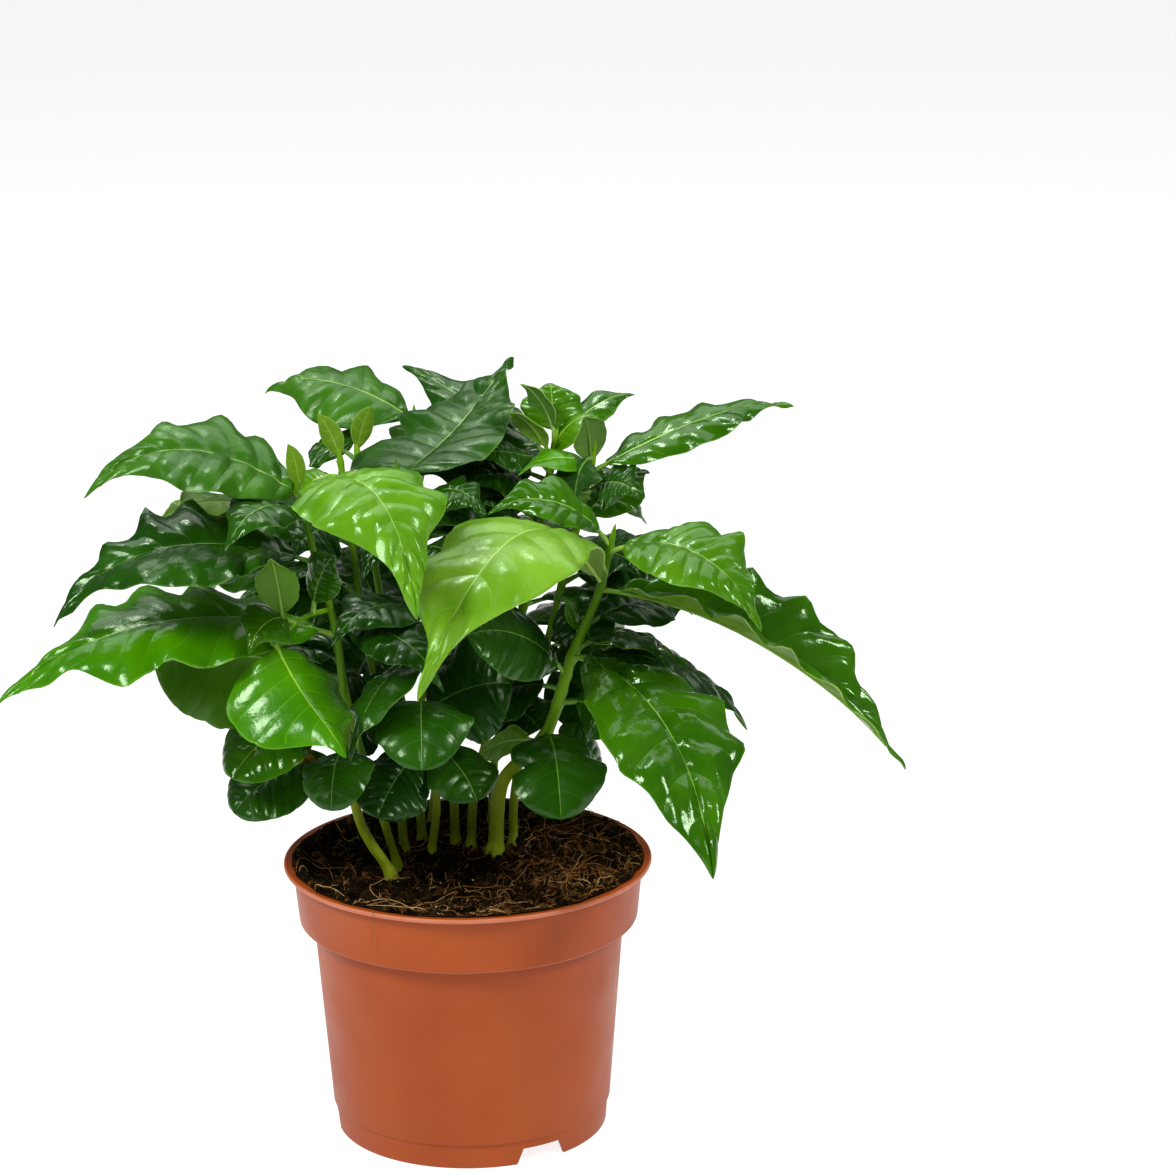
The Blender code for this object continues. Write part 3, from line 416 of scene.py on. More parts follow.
SHOOTS = (
    Shoot("left", ((-25, -5, 87), (-36, -8, 112), (-40, -14, 168), (-46, -18, 196), (-51, -20, 220)),
          126, 1.7, (
        leaf(218, -66, -12, 8, 37, arch=13, lag=0.15, roll=-22, fold=0, petiole=2, belly=0.4,
             shade="satin", waves=4, quilt=1.3),
        leaf(216, 36, -60, -17, 46, arch=21, lag=-0.1, sweep=-3, roll=6, petiole=2, belly=0.44,
             shade="bright", waves=4, wavy=1.6, quilt=1.4, veins=9),
        leaf(211, -48, 32, -6, 26, arch=5, roll=30, shade="bright"),
        leaf(196, -81, -22, -9, 42, arch=14, lag=0.2, roll=-14, fold=9, shade="ink", waves=6, wavy=1.8,
             quilt=0.9),
        leaf(171, -105, -30, -8, 44, arch=14, roll=-17, fold=-4, shade="vivid", waves=6, wavy=1.7,
             quilt=0.9, veins=9),
        bud(219, -3, -1, 17, 6, arch=1, roll=-90, petiole=2),
        leaf(0.95, 22, -26, -26, 45, arch=-3, roll=8, petiole=2, belly=0.34, fold=-29, limb=1,
             shade="vivid", waves=3, wavy=0.8, quilt=0.35, veins=6),
        oval(131, -5, -25, -11, 24, lag=0.2, roll=12, shade="dark"),
        young(0.6, -14, -16, -3, 18, arch=5, roll=-30, petiole=4, limb=1, shade="mid", quilt=0.6),
        young(0.3, 8, -6, 22, 16, arch=2, roll=80, petiole=4, limb=1, shade="mid", quilt=0.6),
        young(0.8, -3, -8, 28, 14, arch=2, roll=10, petiole=7, limb=1, shade="olive"),
    ), (((-42, -15, 180), (-51, -26, 180), (-60, -36, 175)),), 3),
    Shoot("low_left", ((-23, 4, 87), (-28, 2, 106), (-36, 3, 135), (-42, 8, 165)), 118, 1.4, (
        oval(150, -60, -10, 10, 46, arch=5, roll=-50, petiole=14, shade="olive", veins=7, quilt=0.3),
        oval(136, -38, -28, -8, 30, lag=0.2, roll=-12, petiole=20, shade="mid", wavy=2.0),
        oval(123, -42, -14, -11, 30, arch=7, roll=-22, petiole=12, shade="dark", quilt=0.9, veins=7),
        oval(160, -8, -15, 8, 22, arch=4, roll=-10),
    ), (), 3),
    Shoot("back_left", ((-21, 20, 87), (-23, 22, 110), (-32, 25, 160), (-39, 27, 218)), 126, 1.5, (
        bud(217, -7, 0, 17, 7, arch=1, roll=-90, petiole=2),
        young(212, -14, -3, -5, 18, arch=3, roll=-20),
        leaf(190, -60, 28, -2, 34, arch=10, roll=-10, shade="dark"),
        leaf(172, -56, 34, -6, 34, shade="dark"),
    ), (), 5),
    Shoot("back_middle", ((-15, 28, 87), (-17, 31, 112), (-27, 42, 165), (-34, 50, 215)), 130, 1.5, (
        bud(214, 5, 0, 17, 7, arch=1, roll=90, petiole=2),
        leaf(211, -17, 12, 3, 22, arch=3, roll=-20, shade="dark"),
        leaf(190, -44, 60, 0, 34, shade="dark"),
    ), (), 5),
    Shoot("back", ((-12, 42, 87), (-10, 46, 112), (-12, 56, 165), (-15, 64, 222)), 128, 1.5, (
        leaf(221, -50, 16, 11, 36, arch=6, roll=-18, fold=-12, petiole=3, shade="satin", veins=7),
        leaf(200, 14, 72, 6, 34),
        leaf(176, -30, 68, 2, 34, shade="dark"),
    ), (), 5),
    Shoot("front", ((-12, 16, 87), (-10, 13, 107), (-14, 0, 140), (-11, -4, 165), (-9, -2, 182)),
          124, 1.4, (
        leaf(162, -25, -31, -23, 27, arch=7, roll=22, belly=0.42, shade="dark", veins=6),
        oval(139, 0, -38, -5, 30, arch=12, shade="dark", veins=5),
        oval(139, 29, -6, 13, 36, arch=3, roll=55, petiole=3),
        oval(126, -16, -28, -13, 25, arch=4, roll=-28, quilt=0.9, veins=8),
        oval(128, 16, -21, -12, 23, arch=4, roll=13, shade="dark", veins=5),
    ), (), 3),
    Shoot("middle", ((-4, 26, 87), (-5, 25, 112), (-11, 16, 165), (-20, 8, 218)), 128, 1.5, (
        leaf(217, 38, 66, 26, 44, arch=-5, roll=-8, belly=0.23, petiole=3, fold=2, shade="blue",
             veins=9, quilt=1.2, waves=4, wavy=2.4, hook=0.7),
        leaf(205, 26, -13, 1, 20, lag=0.3, roll=14, petiole=9, shade="dark"),
        leaf(190, 34, 20, 8, 28, shade="deep"),
        leaf(198, 28, 5, 9, 22, arch=2, roll=4, shade="deep"),
        leaf(190, 16, -24, 0, 22, arch=5, roll=22, shade="deep"),
        leaf(184, 28, -8, 1, 24, arch=6, roll=20, shade="deep"),
        oval(171, -25, -14, -3, 23, arch=6, roll=-6),
        oval(136, 13, -7, -6, 25, arch=4, roll=18),
    ), (), 6),
    Shoot("back_right", ((1, 21, 87), (4, 25, 112), (20, 35, 165), (31, 38, 220)), 128, 1.5, (
        leaf(215, -49, 46, 23, 20, arch=0, roll=-20, shade="dark"),
        young(213, 15, 0, 17, 15, arch=4, roll=20, petiole=3),
        young(213, -15, -6, 20, 13, arch=3, roll=20, shade="vivid"),
        young(219, -11, 3, 21, 10, arch=3, roll=60, shade="blue"),
        young(218, -1, 12, 21, 20, arch=3, quilt=0.7),
        young(217, 27, 12, 17, 13, arch=4, roll=25, shade="mid", wavy=2.0),
        leaf(201, -26, -9, 9, 24, arch=5, roll=-20, shade="dark"),
        leaf(206, 5, -19, -6, 20, arch=4, roll=10, shade="olive"),
        leaf(212, -26, -12, 8, 18, arch=2, roll=-20, shade="dark"),
        oval(158, -2, -25, -5, 26, arch=4),
        leaf(190, 30, 50, 4, 30, shade="dark"),
    ), (), 6),
    Shoot("main",
          ((9, 16, 87), (12, 16, 111), (26, 12, 128), (35, 8, 156), (44, 5, 179), (48, 2, 197)),
          119, 2.6, (
        leaf(156, 40, -90, -41, 43, arch=14, sweep=-5, roll=8, petiole=8, belly=0.48, waves=5, wavy=1.1,
             quilt=2.2, veins=6, lift=20),
        oval(149, -32, -30, 24, 32, arch=6, roll=-50, shade="dark", veins=7),
        leaf(181, -59, -80, -9, 50, arch=30, lag=-0.3, roll=-4, petiole=2, belly=0.42, shade="light",
             waves=3.5, wavy=1.8, quilt=1.1),
        leaf(192, 46, -38, -12, 34, arch=12, roll=14, fold=0, shade="fresh", waves=4, wavy=1.6,
             quilt=0.9, veins=9),
        leaf(194, -39, -12, 17, 21, roll=-30, fold=6, waves=3),
        leaf(179, 98, -12, -55, 40, arch=10, lag=-0.25, roll=11, twist=8, fold=42, waves=6, wavy=1.8,
             quilt=1.2, veins=9),
        leaf(155, 58, 14, -26, 34, arch=9, roll=10, shade="dark", veins=7),
        oval(139, 20, -2, -8, 24, arch=4, roll=30, shade="dark"),
        oval(128, 4, -36, -16, 30, arch=10, shade="dark", veins=5, wavy=2.2),
        oval(125, -19, -12, 1, 15, arch=3, roll=60, shade="olive"),
        oval(144, -24, 4, -6, 28, arch=4, roll=-20),
        oval(126, 19, 8, -13, 24, arch=5, roll=40, shade="dark"),
        leaf(166, 36, 22, 0, 25, arch=5, roll=15, shade="deep"),
        young(161, -5, -4, 17, 8, arch=2, roll=-70, petiole=4),
    ), (), 3),
    Shoot("right", ((15, 22, 87), (17, 24, 112), (30, 29, 165), (41, 31, 207), (44, 33, 225)),
          128, 1.5, (
        leaf(211, 68, 20, 19, 22, arch=4, lag=0.2, roll=20, twist=-10, waves=5, wavy=2.0, quilt=0.6),
        young(212, -2, -7, 21, 13, arch=2, roll=50, petiole=3, shade="dark"),
        young(216, -6, -11, -10, 15, arch=4, roll=-20, petiole=3, shade="blue"),
        young(214, -24, -15, 2, 14, arch=3, roll=-45, twist=60, petiole=3, shade="vivid"),
        leaf(192, 25, 18, 17, 22, arch=3, roll=20),
        leaf(203, 17, -9, 4, 22, arch=4, roll=30, shade="dark"),
        leaf(180, 24, -10, 2, 24, arch=5, roll=25, shade="deep"),
        leaf(186, -20, -26, 4, 24, arch=5, roll=-20, shade="deep"),
        leaf(178, 52, 30, -6, 32, arch=9, shade="dark"),
    ), (), 6),
    Shoot("far_right", ((8, 42, 87), (10, 45, 112), (18, 55, 150), (24, 62, 190)), 126, 1.4, (
        leaf(186, 40, 40, -8, 30, shade="dark"),
        leaf(170, 4, 66, 0, 32),
        oval(150, 34, 40, -10, 30, arch=7, shade="dark"),
    ), (), 5),
)

# Further leaves inside the crown, which the CAD part leaves out; their deep and dark tones are partly
# painted shade
INNER = {
    "back_right": (
        leaf(207, -44, 2, 5, 27, arch=4, roll=-35, shade="deep", quilt=0.7),
        leaf(196, -34, -4, 8, 24, arch=4, roll=-30, shade="deep", quilt=0.7),
        oval(132, 14, -16, -2, 22, arch=3, roll=25),
    ),
    "back_left": (
        leaf(165, -40, -8, 12, 27, arch=5, roll=-35, shade="dark", quilt=0.7),
        oval(141, -20, -14, 7, 25, arch=3, roll=-30),
        oval(128, -16, -13, -1, 22, arch=3, roll=-25),
        oval(166, -14, -18, -12, 24, arch=3, roll=-30),
        leaf(196, -18, -14, -4, 24, arch=3, roll=-30, shade="deep"),
    ),
    "right": (
        oval(131, 25, 7, 1, 27, arch=3, roll=45),
        oval(145, 27, 9, -2, 26, arch=3, roll=40),
        oval(170, 10, -20, -10, 22, arch=3, roll=25),
        leaf(174, 40, 3, 4, 27, arch=5, roll=35, shade="deep", quilt=0.7),
    ),
    "back_middle": (
        leaf(185, 26, -8, 6, 24, arch=4, roll=30, shade="deep", quilt=0.7),
        oval(150, 22, -6, 2, 26, arch=3, roll=30),
    ),
    "middle": (
        oval(150, -24, 4, -8, 26, arch=3, roll=-35),
    ),
}

# Camera and light
CAMERA_AT = (0.0, -1.307, 0.555)
CAMERA_YAW = 1.7535
CAMERA_PITCH = -15.959
CAMERA_ROLL = -0.547
CAMERA_LENS = 129.92
SENSOR = 36.0
FLOOR_REACH = 9.0
WORLD_LIGHT = 0.12
FLOOR_GLOW = 0.85
FLOOR_TONE = (150, 150, 150)
FLOOR_ROUGH = 0.8
FLOOR_MOTTLE = 2.0
FLOOR_GLOSS = 0.1
CAMERA_SEES = (0.05, 50.0)
# Name, place, height of its aim, size, power and whether leaves mirror it
LIGHTS = (
    ("key_left", (-0.95, -0.8, 1.3), 0.15, (0.5, 0.5), 24.0, True),
    ("key_right", (1.05, -0.6, 1.1), 0.15, (0.26, 0.4), 12.0, True),
    ("top_back", (0.1, 0.75, 1.4), 0.15, (1.8, 1.0), 11.0, True),
    ("top_small", (-0.25, 0.45, 1.5), 0.15, (0.22, 0.22), 4.0, True),
    ("front_fill", (0.0, -1.9, 1.5), 0.1, (1.0, 0.4), 9.0, False),
)


# Materials
WHITE = (1.0, 1.0, 1.0, 1.0)
NOISE_DETAIL = 3.0
NOISE_LOW = 0.3
NOISE_HIGH = 0.7
BLEND_STOPS = (0.35, 0.65)
GLOSS_FINER = 2.3
ROUGH_VARY = 0.08
LEAF_SHEEN = (0.76, 1.0, 0.66, 1.0)
LEAF_MOTTLE = 55.0
LEAF_GRAIN = 340.0
LEAF_GRAIN_DEPTH = 0.2
LEAF_GLOSS = 0.4
LEAF_ROUGH_VARY = 0.06
VEIN_ROUGHER = 0.1
UNDER_ROUGHER = 0.25
TOP, VEIN_FURROW_SHADE_MARGIN_HIGHLIGHT, RIB_AND_RIM_HIGHLIGHT, UNDER = 0, 1, 2, 3
BARK_GRAIN = {"bump_scale": 700.0, "bump_depth": 0.06, "specular": 0.2, "stretch": (1.0, 1.0, 0.25)}
BARK_MOTTLE = 90.0
PEAT_GLOSS = 0.05
FIBRE_GLOSS = 0.1


def linear(colour):
    """A screen colour of 0 to 255 as the linear values that a shader takes."""
    out = []
    for value in colour:
        share = value / 255.0
        out.append(share / 12.92 if share <= 0.04045 else ((share + 0.055) / 1.055) ** 2.4)
    return (*out, 1.0)


def add_node(tree, kind, **values):
    """A shader node with constant values set on its sockets."""
    node = tree.nodes.new(kind)
    for name, value in values.items():
        node.inputs[name.replace("_", " ")].default_value = value
    return node


def noise_node(tree, coords, scale, stretch=None):
    source = coords
    if stretch:
        mapping = add_node(tree, "ShaderNodeMapping", Scale=stretch)
        tree.links.new(source, mapping.inputs["Vector"])
        source = mapping.outputs["Vector"]
    node = add_node(tree, "ShaderNodeTexNoise", Scale=scale, Detail=NOISE_DETAIL)
    tree.links.new(source, node.inputs["Vector"])
    return node.outputs["Fac"]


def blend_colour(tree, factor, low, high):
    ramp = tree.nodes.new("ShaderNodeValToRGB")
    for stop, place, colour in zip(ramp.color_ramp.elements, BLEND_STOPS, (low, high)):
        stop.position = place
        stop.color = linear(colour)
    tree.links.new(factor, ramp.inputs["Fac"])
    return ramp.outputs["Color"]


def spread(tree, factor, low, high):
    node = add_node(tree, "ShaderNodeMapRange", From_Min=NOISE_LOW, From_Max=NOISE_HIGH,
                    To_Min=low, To_Max=high)
    tree.links.new(factor, node.inputs["Value"])
    return node.outputs["Result"]


def surface(name, low, high, rough, colour_scale, bump_scale=0.0, bump_depth=0.0, rough_vary=ROUGH_VARY,
            specular=0.5, stretch=None, tint=WHITE):
    """A procedural material: two mottled tones, uneven gloss and, if asked, a fine relief."""
    made = bpy.data.materials.new(name)
    made.use_nodes = True
    tree = made.node_tree
    shader = tree.nodes["Principled BSDF"]
    coords = tree.nodes.new("ShaderNodeTexCoord").outputs["Object"]
    mottle = noise_node(tree, coords, colour_scale, stretch=stretch)
    tree.links.new(blend_colour(tree, mottle, low, high), shader.inputs["Base Color"])
    uneven = noise_node(tree, coords, colour_scale * GLOSS_FINER, stretch=stretch)
    tree.links.new(spread(tree, uneven, rough - rough_vary, rough + rough_vary),
                   shader.inputs["Roughness"])
    shader.inputs["Specular IOR Level"].default_value = specular
    shader.inputs["Specular Tint"].default_value = tint
    if bump_scale:
        relief = add_node(tree, "ShaderNodeBump", Strength=1.0, Distance=bump_depth * MM)
        tree.links.new(noise_node(tree, coords, bump_scale, stretch=stretch), relief.inputs["Height"])
        tree.links.new(relief.outputs["Normal"], shader.inputs["Normal"])
    made.diffuse_color = linear(low)
    return made


def leaf_materials():
    """Upper face, side veins, midrib and underside for every shade, in one list."""
    made = []
    place = {}
    grain = {"bump_scale": LEAF_GRAIN, "bump_depth": LEAF_GRAIN_DEPTH, "specular": LEAF_GLOSS}
    # The side-vein material carries painted furrow shade in the light, bright and satin shades
    for name, shade in SHADES.items():
        place[name] = len(made)
        for part, low, high, rougher, looks in (
                ("leaf_", shade.low, shade.high, 0.0, {**grain, "rough_vary": LEAF_ROUGH_VARY}),
                ("vein_", shade.high, shade.vein, VEIN_ROUGHER, {"specular": LEAF_GLOSS}),
                ("rib_", shade.under, shade.rib, VEIN_ROUGHER, {}),
                ("under_", shade.under, shade.fleck, UNDER_ROUGHER, grain)):
            made.append(surface(part + name, low, high, shade.rough + rougher, LEAF_MOTTLE,
                                tint=LEAF_SHEEN, **looks))
    made.append(surface(*SCORCH_LOOKS))
    return made, place


# Meshes in pieces
class Piece:
    """A growing mesh: its points, faces of any size, and a material and a map place for each."""

    def __init__(self, cells=1):
        self.points = []
        self.count = 0
        self.loops = []
        self.sizes = []
        self.mats = []
        self.maps = []
        self.side = max(1, math.ceil(math.sqrt(cells)))
        self.cell = 0

    def add_points(self, points):
        first = self.count
        flat = np.asarray(points, float).reshape(-1, 3)
        self.points.append(flat)
        self.count += len(flat)
        return first

    def add_faces(self, faces, mats, maps):
        faces = np.asarray(faces)
        self.loops.append(faces.reshape(-1))
        self.sizes.append(np.full(len(faces), faces.shape[1]))
        self.mats.append(np.broadcast_to(np.asarray(mats), (len(faces),)))
        self.maps.append(np.asarray(maps, float).reshape(-1, 2))

    def next_cell(self):
        """The next free square of the map, a little inside it: its corner and its side."""
        row, column = divmod(self.cell, self.side)
        self.cell += 1
        size = 1.0 / self.side
        return np.array((column + CELL_PAD, row + CELL_PAD)) * size, size * (1.0 - 2.0 * CELL_PAD)

    def build(self, name, mats, nodes=(), sharp=40.0):
        mesh = bpy.data.meshes.new(name)
        points = np.concatenate(self.points) * MM
        loops = np.concatenate(self.loops)
        sizes = np.concatenate(self.sizes)
        mesh.vertices.add(len(points))
        mesh.vertices.foreach_set("co", points.reshape(-1))
        mesh.loops.add(len(loops))
        mesh.loops.foreach_set("vertex_index", loops)
        mesh.polygons.add(len(sizes))
        mesh.polygons.foreach_set("loop_start", np.concatenate(([0], np.cumsum(sizes)[:-1])))
        mesh.polygons.foreach_set("material_index", np.concatenate(self.mats))
        mesh.update(calc_edges=True)
        for mat in mats:
            mesh.materials.append(mat)
        layer = mesh.uv_layers.new(name="OFBake")
        layer.data.foreach_set("uv", np.concatenate(self.maps).reshape(-1))
        mesh.polygons.foreach_set("use_smooth", np.ones(len(sizes), bool))
        mesh.set_sharp_from_angle(angle=math.radians(sharp))
        mesh.validate()
        return place_piece(name, mesh, nodes)


def place_piece(name, mesh, nodes=()):
    obj = bpy.data.objects.new(name, mesh)
    bpy.context.scene.collection.objects.link(obj)
    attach(obj, BODY)
    if nodes:
        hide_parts(*nodes)
    return obj


def grid_faces(rows, columns, first, wrapped=False, flipped=False):
    """Quads over a grid of points, as indices, with the row and column of each."""
    last = columns if wrapped else columns - 1
    i, j = np.meshgrid(np.arange(rows - 1), np.arange(last), indexing="ij")
    i, j = i.reshape(-1), j.reshape(-1)
    k = (j + 1) % columns
    near, far = i * columns, (i + 1) * columns
    faces = np.stack((near + j, near + k, far + k, far + j), 1)
    if flipped:
        faces = faces[:, (0, 3, 2, 1)]
    return faces + first, i, j


def tube(piece, points, radii, sides, mat, across=None, relief=None):
    """A closed tube through points, with a radius at each and a relief on it if given."""
    points = np.asarray([tuple(p) for p in points], float)
    radii = np.asarray(radii, float)
    ways = np.gradient(points, axis=0)
    ways /= np.linalg.norm(ways, axis=1)[:, None]
    if across is None:
        guide = (1.0, 0.0, 0.0) if abs(ways[0][0]) < GUIDE_MOST else (0.0, 1.0, 0.0)
        across = np.broadcast_to(guide, ways.shape)
    across = across - ways * np.sum(across * ways, 1)[:, None]
    across = across / np.linalg.norm(across, axis=1)[:, None]
    other = np.cross(ways, across)
    turn = np.arange(sides) * 2.0 * math.pi / sides
    size = np.broadcast_to(radii[:, None], (len(points), sides))
    if relief is not None:
        size = size * relief(points, turn)
    ring = (points[:, None] + across[:, None] * (np.cos(turn)[None, :, None] * size[..., None])
            + other[:, None] * (np.sin(turn)[None, :, None] * size[..., None]))
    first = piece.add_points(ring)
    faces, i, j = grid_faces(len(points), sides, first, wrapped=True)
    corner, cell = piece.next_cell()
    rows = len(points) - 1
    u = np.stack((i, i, i + 1, i + 1), 1) / rows
    v = np.stack((j, j + 1, j + 1, j), 1) / sides
    piece.add_faces(faces, mat, corner + np.stack((u, v), 2) * cell)
    cap = np.arange(sides)
    spot = np.broadcast_to(corner, (sides, 2))
    piece.add_faces([(first + cap)[::-1]], mat, [spot])
    piece.add_faces([first + rows * sides + cap], mat, [spot + np.array((cell, cell))])


# The rule of growth
def curve_through(points, steps):
    marks = [Vector(p) for p in points]
    ends = [marks[0] * 2 - marks[1]] + marks + [marks[-1] * 2 - marks[-2]]
    path = []
    for a, b, c, d in zip(ends, ends[1:], ends[2:], ends[3:]):
        for i in range(steps):
            t = i / steps
            path.append(0.5 * (2 * b + (c - a) * t + (2 * a - 5 * b + 4 * c - d) * t * t
                               + (3 * b - a - 3 * c + d) * t * t * t))
    path.append(marks[-1].copy())
    return path


def at_height(path, height):
    for low, high in zip(path, path[1:]):
        if high.z >= height:
            share = (height - low.z) / max(1e-6, high.z - low.z)
            return low.lerp(high, max(0.0, min(1.0, share)))
    return path[-1].copy()


def at_share(path, share):
    place = share * (len(path) - 1)
    index = min(int(place), len(path) - 2)
    return path[index].lerp(path[index + 1], place - index)


def part_way(value, low, high):
    """How far a value is from low to high, kept from 0 to 1."""
    return max(0.0, min(1.0, (value - low) / (high - low)))


def eased(share):
    return share * share * (3.0 - 2.0 * share)


def stem_radius(shoot, height):
    low, high = shoot.path[0][2], shoot.path[-1][2]
    radius = shoot.girth + (STEM_TOP_RADIUS - shoot.girth) * part_way(height, low, high)
    flare = 1.0 - part_way(height, low, low + FLARE_HEIGHT)
    return radius * (1.0 + (FLARE - 1.0) * flare * flare)


def soil_height(x, y):
    lump = (math.sin(x * LUMP_X + LUMP_X_START) * math.cos(y * LUMP_Y + LUMP_Y_START)
            + LUMP_CROSS * math.sin(x * LUMP_CROSS_X - y * LUMP_CROSS_Y))
    reach = min(1.0, math.hypot(x, y) / SOIL_LUMP_FREE)
    return SOIL_TOP + SOIL_RISE_RIGHT * x + SOIL_RISE_BACK * y + SOIL_LUMP * lump * reach


def limb_paths(shoot):
    return [curve_through(points, PATH_STEPS) for points in (shoot.path, *shoot.twigs)]


def leaf_base(shoot, paths, item):
    if item.limb == 0:
        return at_height(paths[0], item.at), stem_radius(shoot, item.at)
    return at_share(paths[item.limb], item.at), TWIG_TOP_RADIUS


def dome_height(x, y):
    return DOME_TOP - DOME_SIDE * x * x - DOME_BACK * y


def fill_leaves(shoot, number, paths):
    """Pairs of leaves at right angles to the pair below, up the stem, as the plant grows them."""
    dice = random.Random(FILL_SEED + number)
    low, high = shoot.fork + FILL_LOW, shoot.path[-1][2] - FILL_HIGH
    turn = dice.uniform(0.0, 90.0)
    for pair in range(shoot.fills):
        height = low + (high - low) * pair / (shoot.fills - 1)
        for half in (0.0, 180.0):
            way = math.radians(turn + 90.0 * pair + half + dice.uniform(*FILL_STRAY))
            low_leaf = height < FILL_ROUND_BELOW
            length = dice.uniform(*(FILL_ROUND_LENGTH if low_leaf else FILL_LENGTH))
            if math.sin(way) < FILL_BACKWARD:
                length *= FILL_FRONT_SHARE
            rise = math.radians(dice.uniform(*FILL_RISE))
            base = at_height(paths[0], height)
            level = math.cos(rise)
            reach = Vector((math.cos(way) * level, math.sin(way) * level, math.sin(rise))) * length
            tip = base + reach
            over = tip.z + FILL_ARCH / 2.0 - dome_height(tip.x, tip.y)
            if over > 0.0:
                reach.z -= over
            width = length * (FILL_ROUND_WIDE if low_leaf else FILL_WIDE)
            # Low leaves and the leaves of masses with fewer fills take the darker tones: painted shade
            shades = FILL_TONES_PAINTED_SHADE if low_leaf or shoot.fills < FULL_FILLS else FILL_SHADES_HIGH
            yield leaf(height, reach.x, reach.y, reach.z, width, arch=FILL_ARCH,
                       roll=dice.uniform(*FILL_ROLL), kind=ROUND if low_leaf else BLADE,
                       shade=shades[(pair * 2 + int(half > 0.0) + number) % len(shades)])


# Leaves
def midrib(base, item):
    reach = Vector((item.right, item.back, item.up))
    out = Vector((item.right, item.back, 0.0)).normalized()
    side = out.cross(UP)
    lift = side.cross(reach.normalized())
    bend = item.arch * 4.0 / 3.0
    swing = side * item.sweep * 4.0 / 3.0
    near = base + reach / 3.0 + lift * bend * (1.0 - item.lag) + swing
    far = base + reach * 2.0 / 3.0 + lift * bend * (1.0 + item.lag) + swing
    return (base, near, far, base + reach), side


def leaf_length(item):
    reach = Vector((item.right, item.back, item.up)).length
    return reach + item.arch * ARCH_LENGTHENS


def leaf_start(item):
    return min(PETIOLE_MOST, item.petiole / leaf_length(item))


def unit(vectors):
    return vectors / np.maximum(1e-9, np.linalg.norm(vectors, axis=-1))[..., None]


def leaf_lines(item, base, t):
    """Places, acrosses and faces along the leaf's middle line at an array of shares."""
    points, side = midrib(base, item)
    a, b, c, d = (np.array(tuple(p)) for p in points)
    t = np.asarray(t, float)[..., None]
    s = 1.0 - t
    place = a * s ** 3 + b * 3 * s * s * t + c * 3 * s * t * t + d * t ** 3
    slope = unit((b - a) * 3 * s * s + (c - b) * 6 * s * t + (d - c) * 3 * t * t)
    face = unit(np.cross(np.array(tuple(side)), slope))
    across = np.cross(slope, face)
    angle = np.radians(item.roll + item.twist * t)
    return (place, across * np.cos(angle) - face * np.sin(angle),
            face * np.cos(angle) + across * np.sin(angle))


def half_width(item, u):
    belly = item.belly + (ROUND_FULLER if item.kind == ROUND else 0.0)
    power = math.log(0.5) / math.log(belly)
    wave = np.clip(np.sin(math.pi * np.clip(u, 0.0, 1.0) ** power), 0.0, 1.0)
    if item.kind == ROUND:
        shape = wave ** ROUND_POWER
    elif item.kind == BUD:
        shape = wave ** BUD_POWER
    else:
        tail = np.clip((u - DRIP_START) / DRIP_LONG, 0.0, 1.0)
        shape = wave ** BLADE_POWER * (1.0 - DRIP_NARROW * eased(tail))
    return np.maximum(EDGE_LEAST, item.width / 2.0 * shape)


def is_grown(tree, base, item):
    """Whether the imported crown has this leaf, so that both grow the same ones."""
    start = leaf_start(item)
    stops = start + (1.0 - start) * np.array(KEPT_STOPS)
    for place in leaf_lines(item, base, stops)[0]:
        if tree.find_nearest(Vector(place) * MM)[3] > KEPT_WITHIN * MM:
            return False
    return True


def blade_rows(veins, inner, gap):
    """The blade's rows from base to tip: two at each side vein and the rest between them."""
    step = 1.0 / (veins + VEIN_LAST)
    rows, strip = [(0.0, 0.0, 0)], []

    def add_row(row, bulge, span, vein=False):
        rows.append((row, bulge, span))
        strip.append(vein)

    low = 0.0
    for k in range(veins + 1):
        high = step * (k + VEIN_FIRST) - gap if k < veins else 1.0
        for i in range(1, inner + 1):
            share = i / (inner + 1.0)
            add_row(low + (high - low) * share, math.sin(math.pi * share) ** QUILT_POWER, k)
        add_row(high, 0.0, k)
        if k < veins:
            low = high + 2.0 * gap
            add_row(low, 0.0, k + 1, True)
    table = np.array(rows)
    return table[:, 0], table[:, 1], table[:, 2].astype(int), np.array(strip)


def leaf_scale(item):
    return min(1.0, item.width / FULL_WIDTH)


def hook_drop(item, share):
    """How far a blade's end hangs down, at shares of its length."""
    tail = np.clip((share - HOOK_FROM) / (1.0 - HOOK_FROM), 0.0, 1.0)
    return HOOK * leaf_scale(item) * (ROUND_HOOK if item.kind == ROUND else item.hook) * tail ** 2


def ripple(turns):
    return np.sin(2.0 * math.pi * turns)


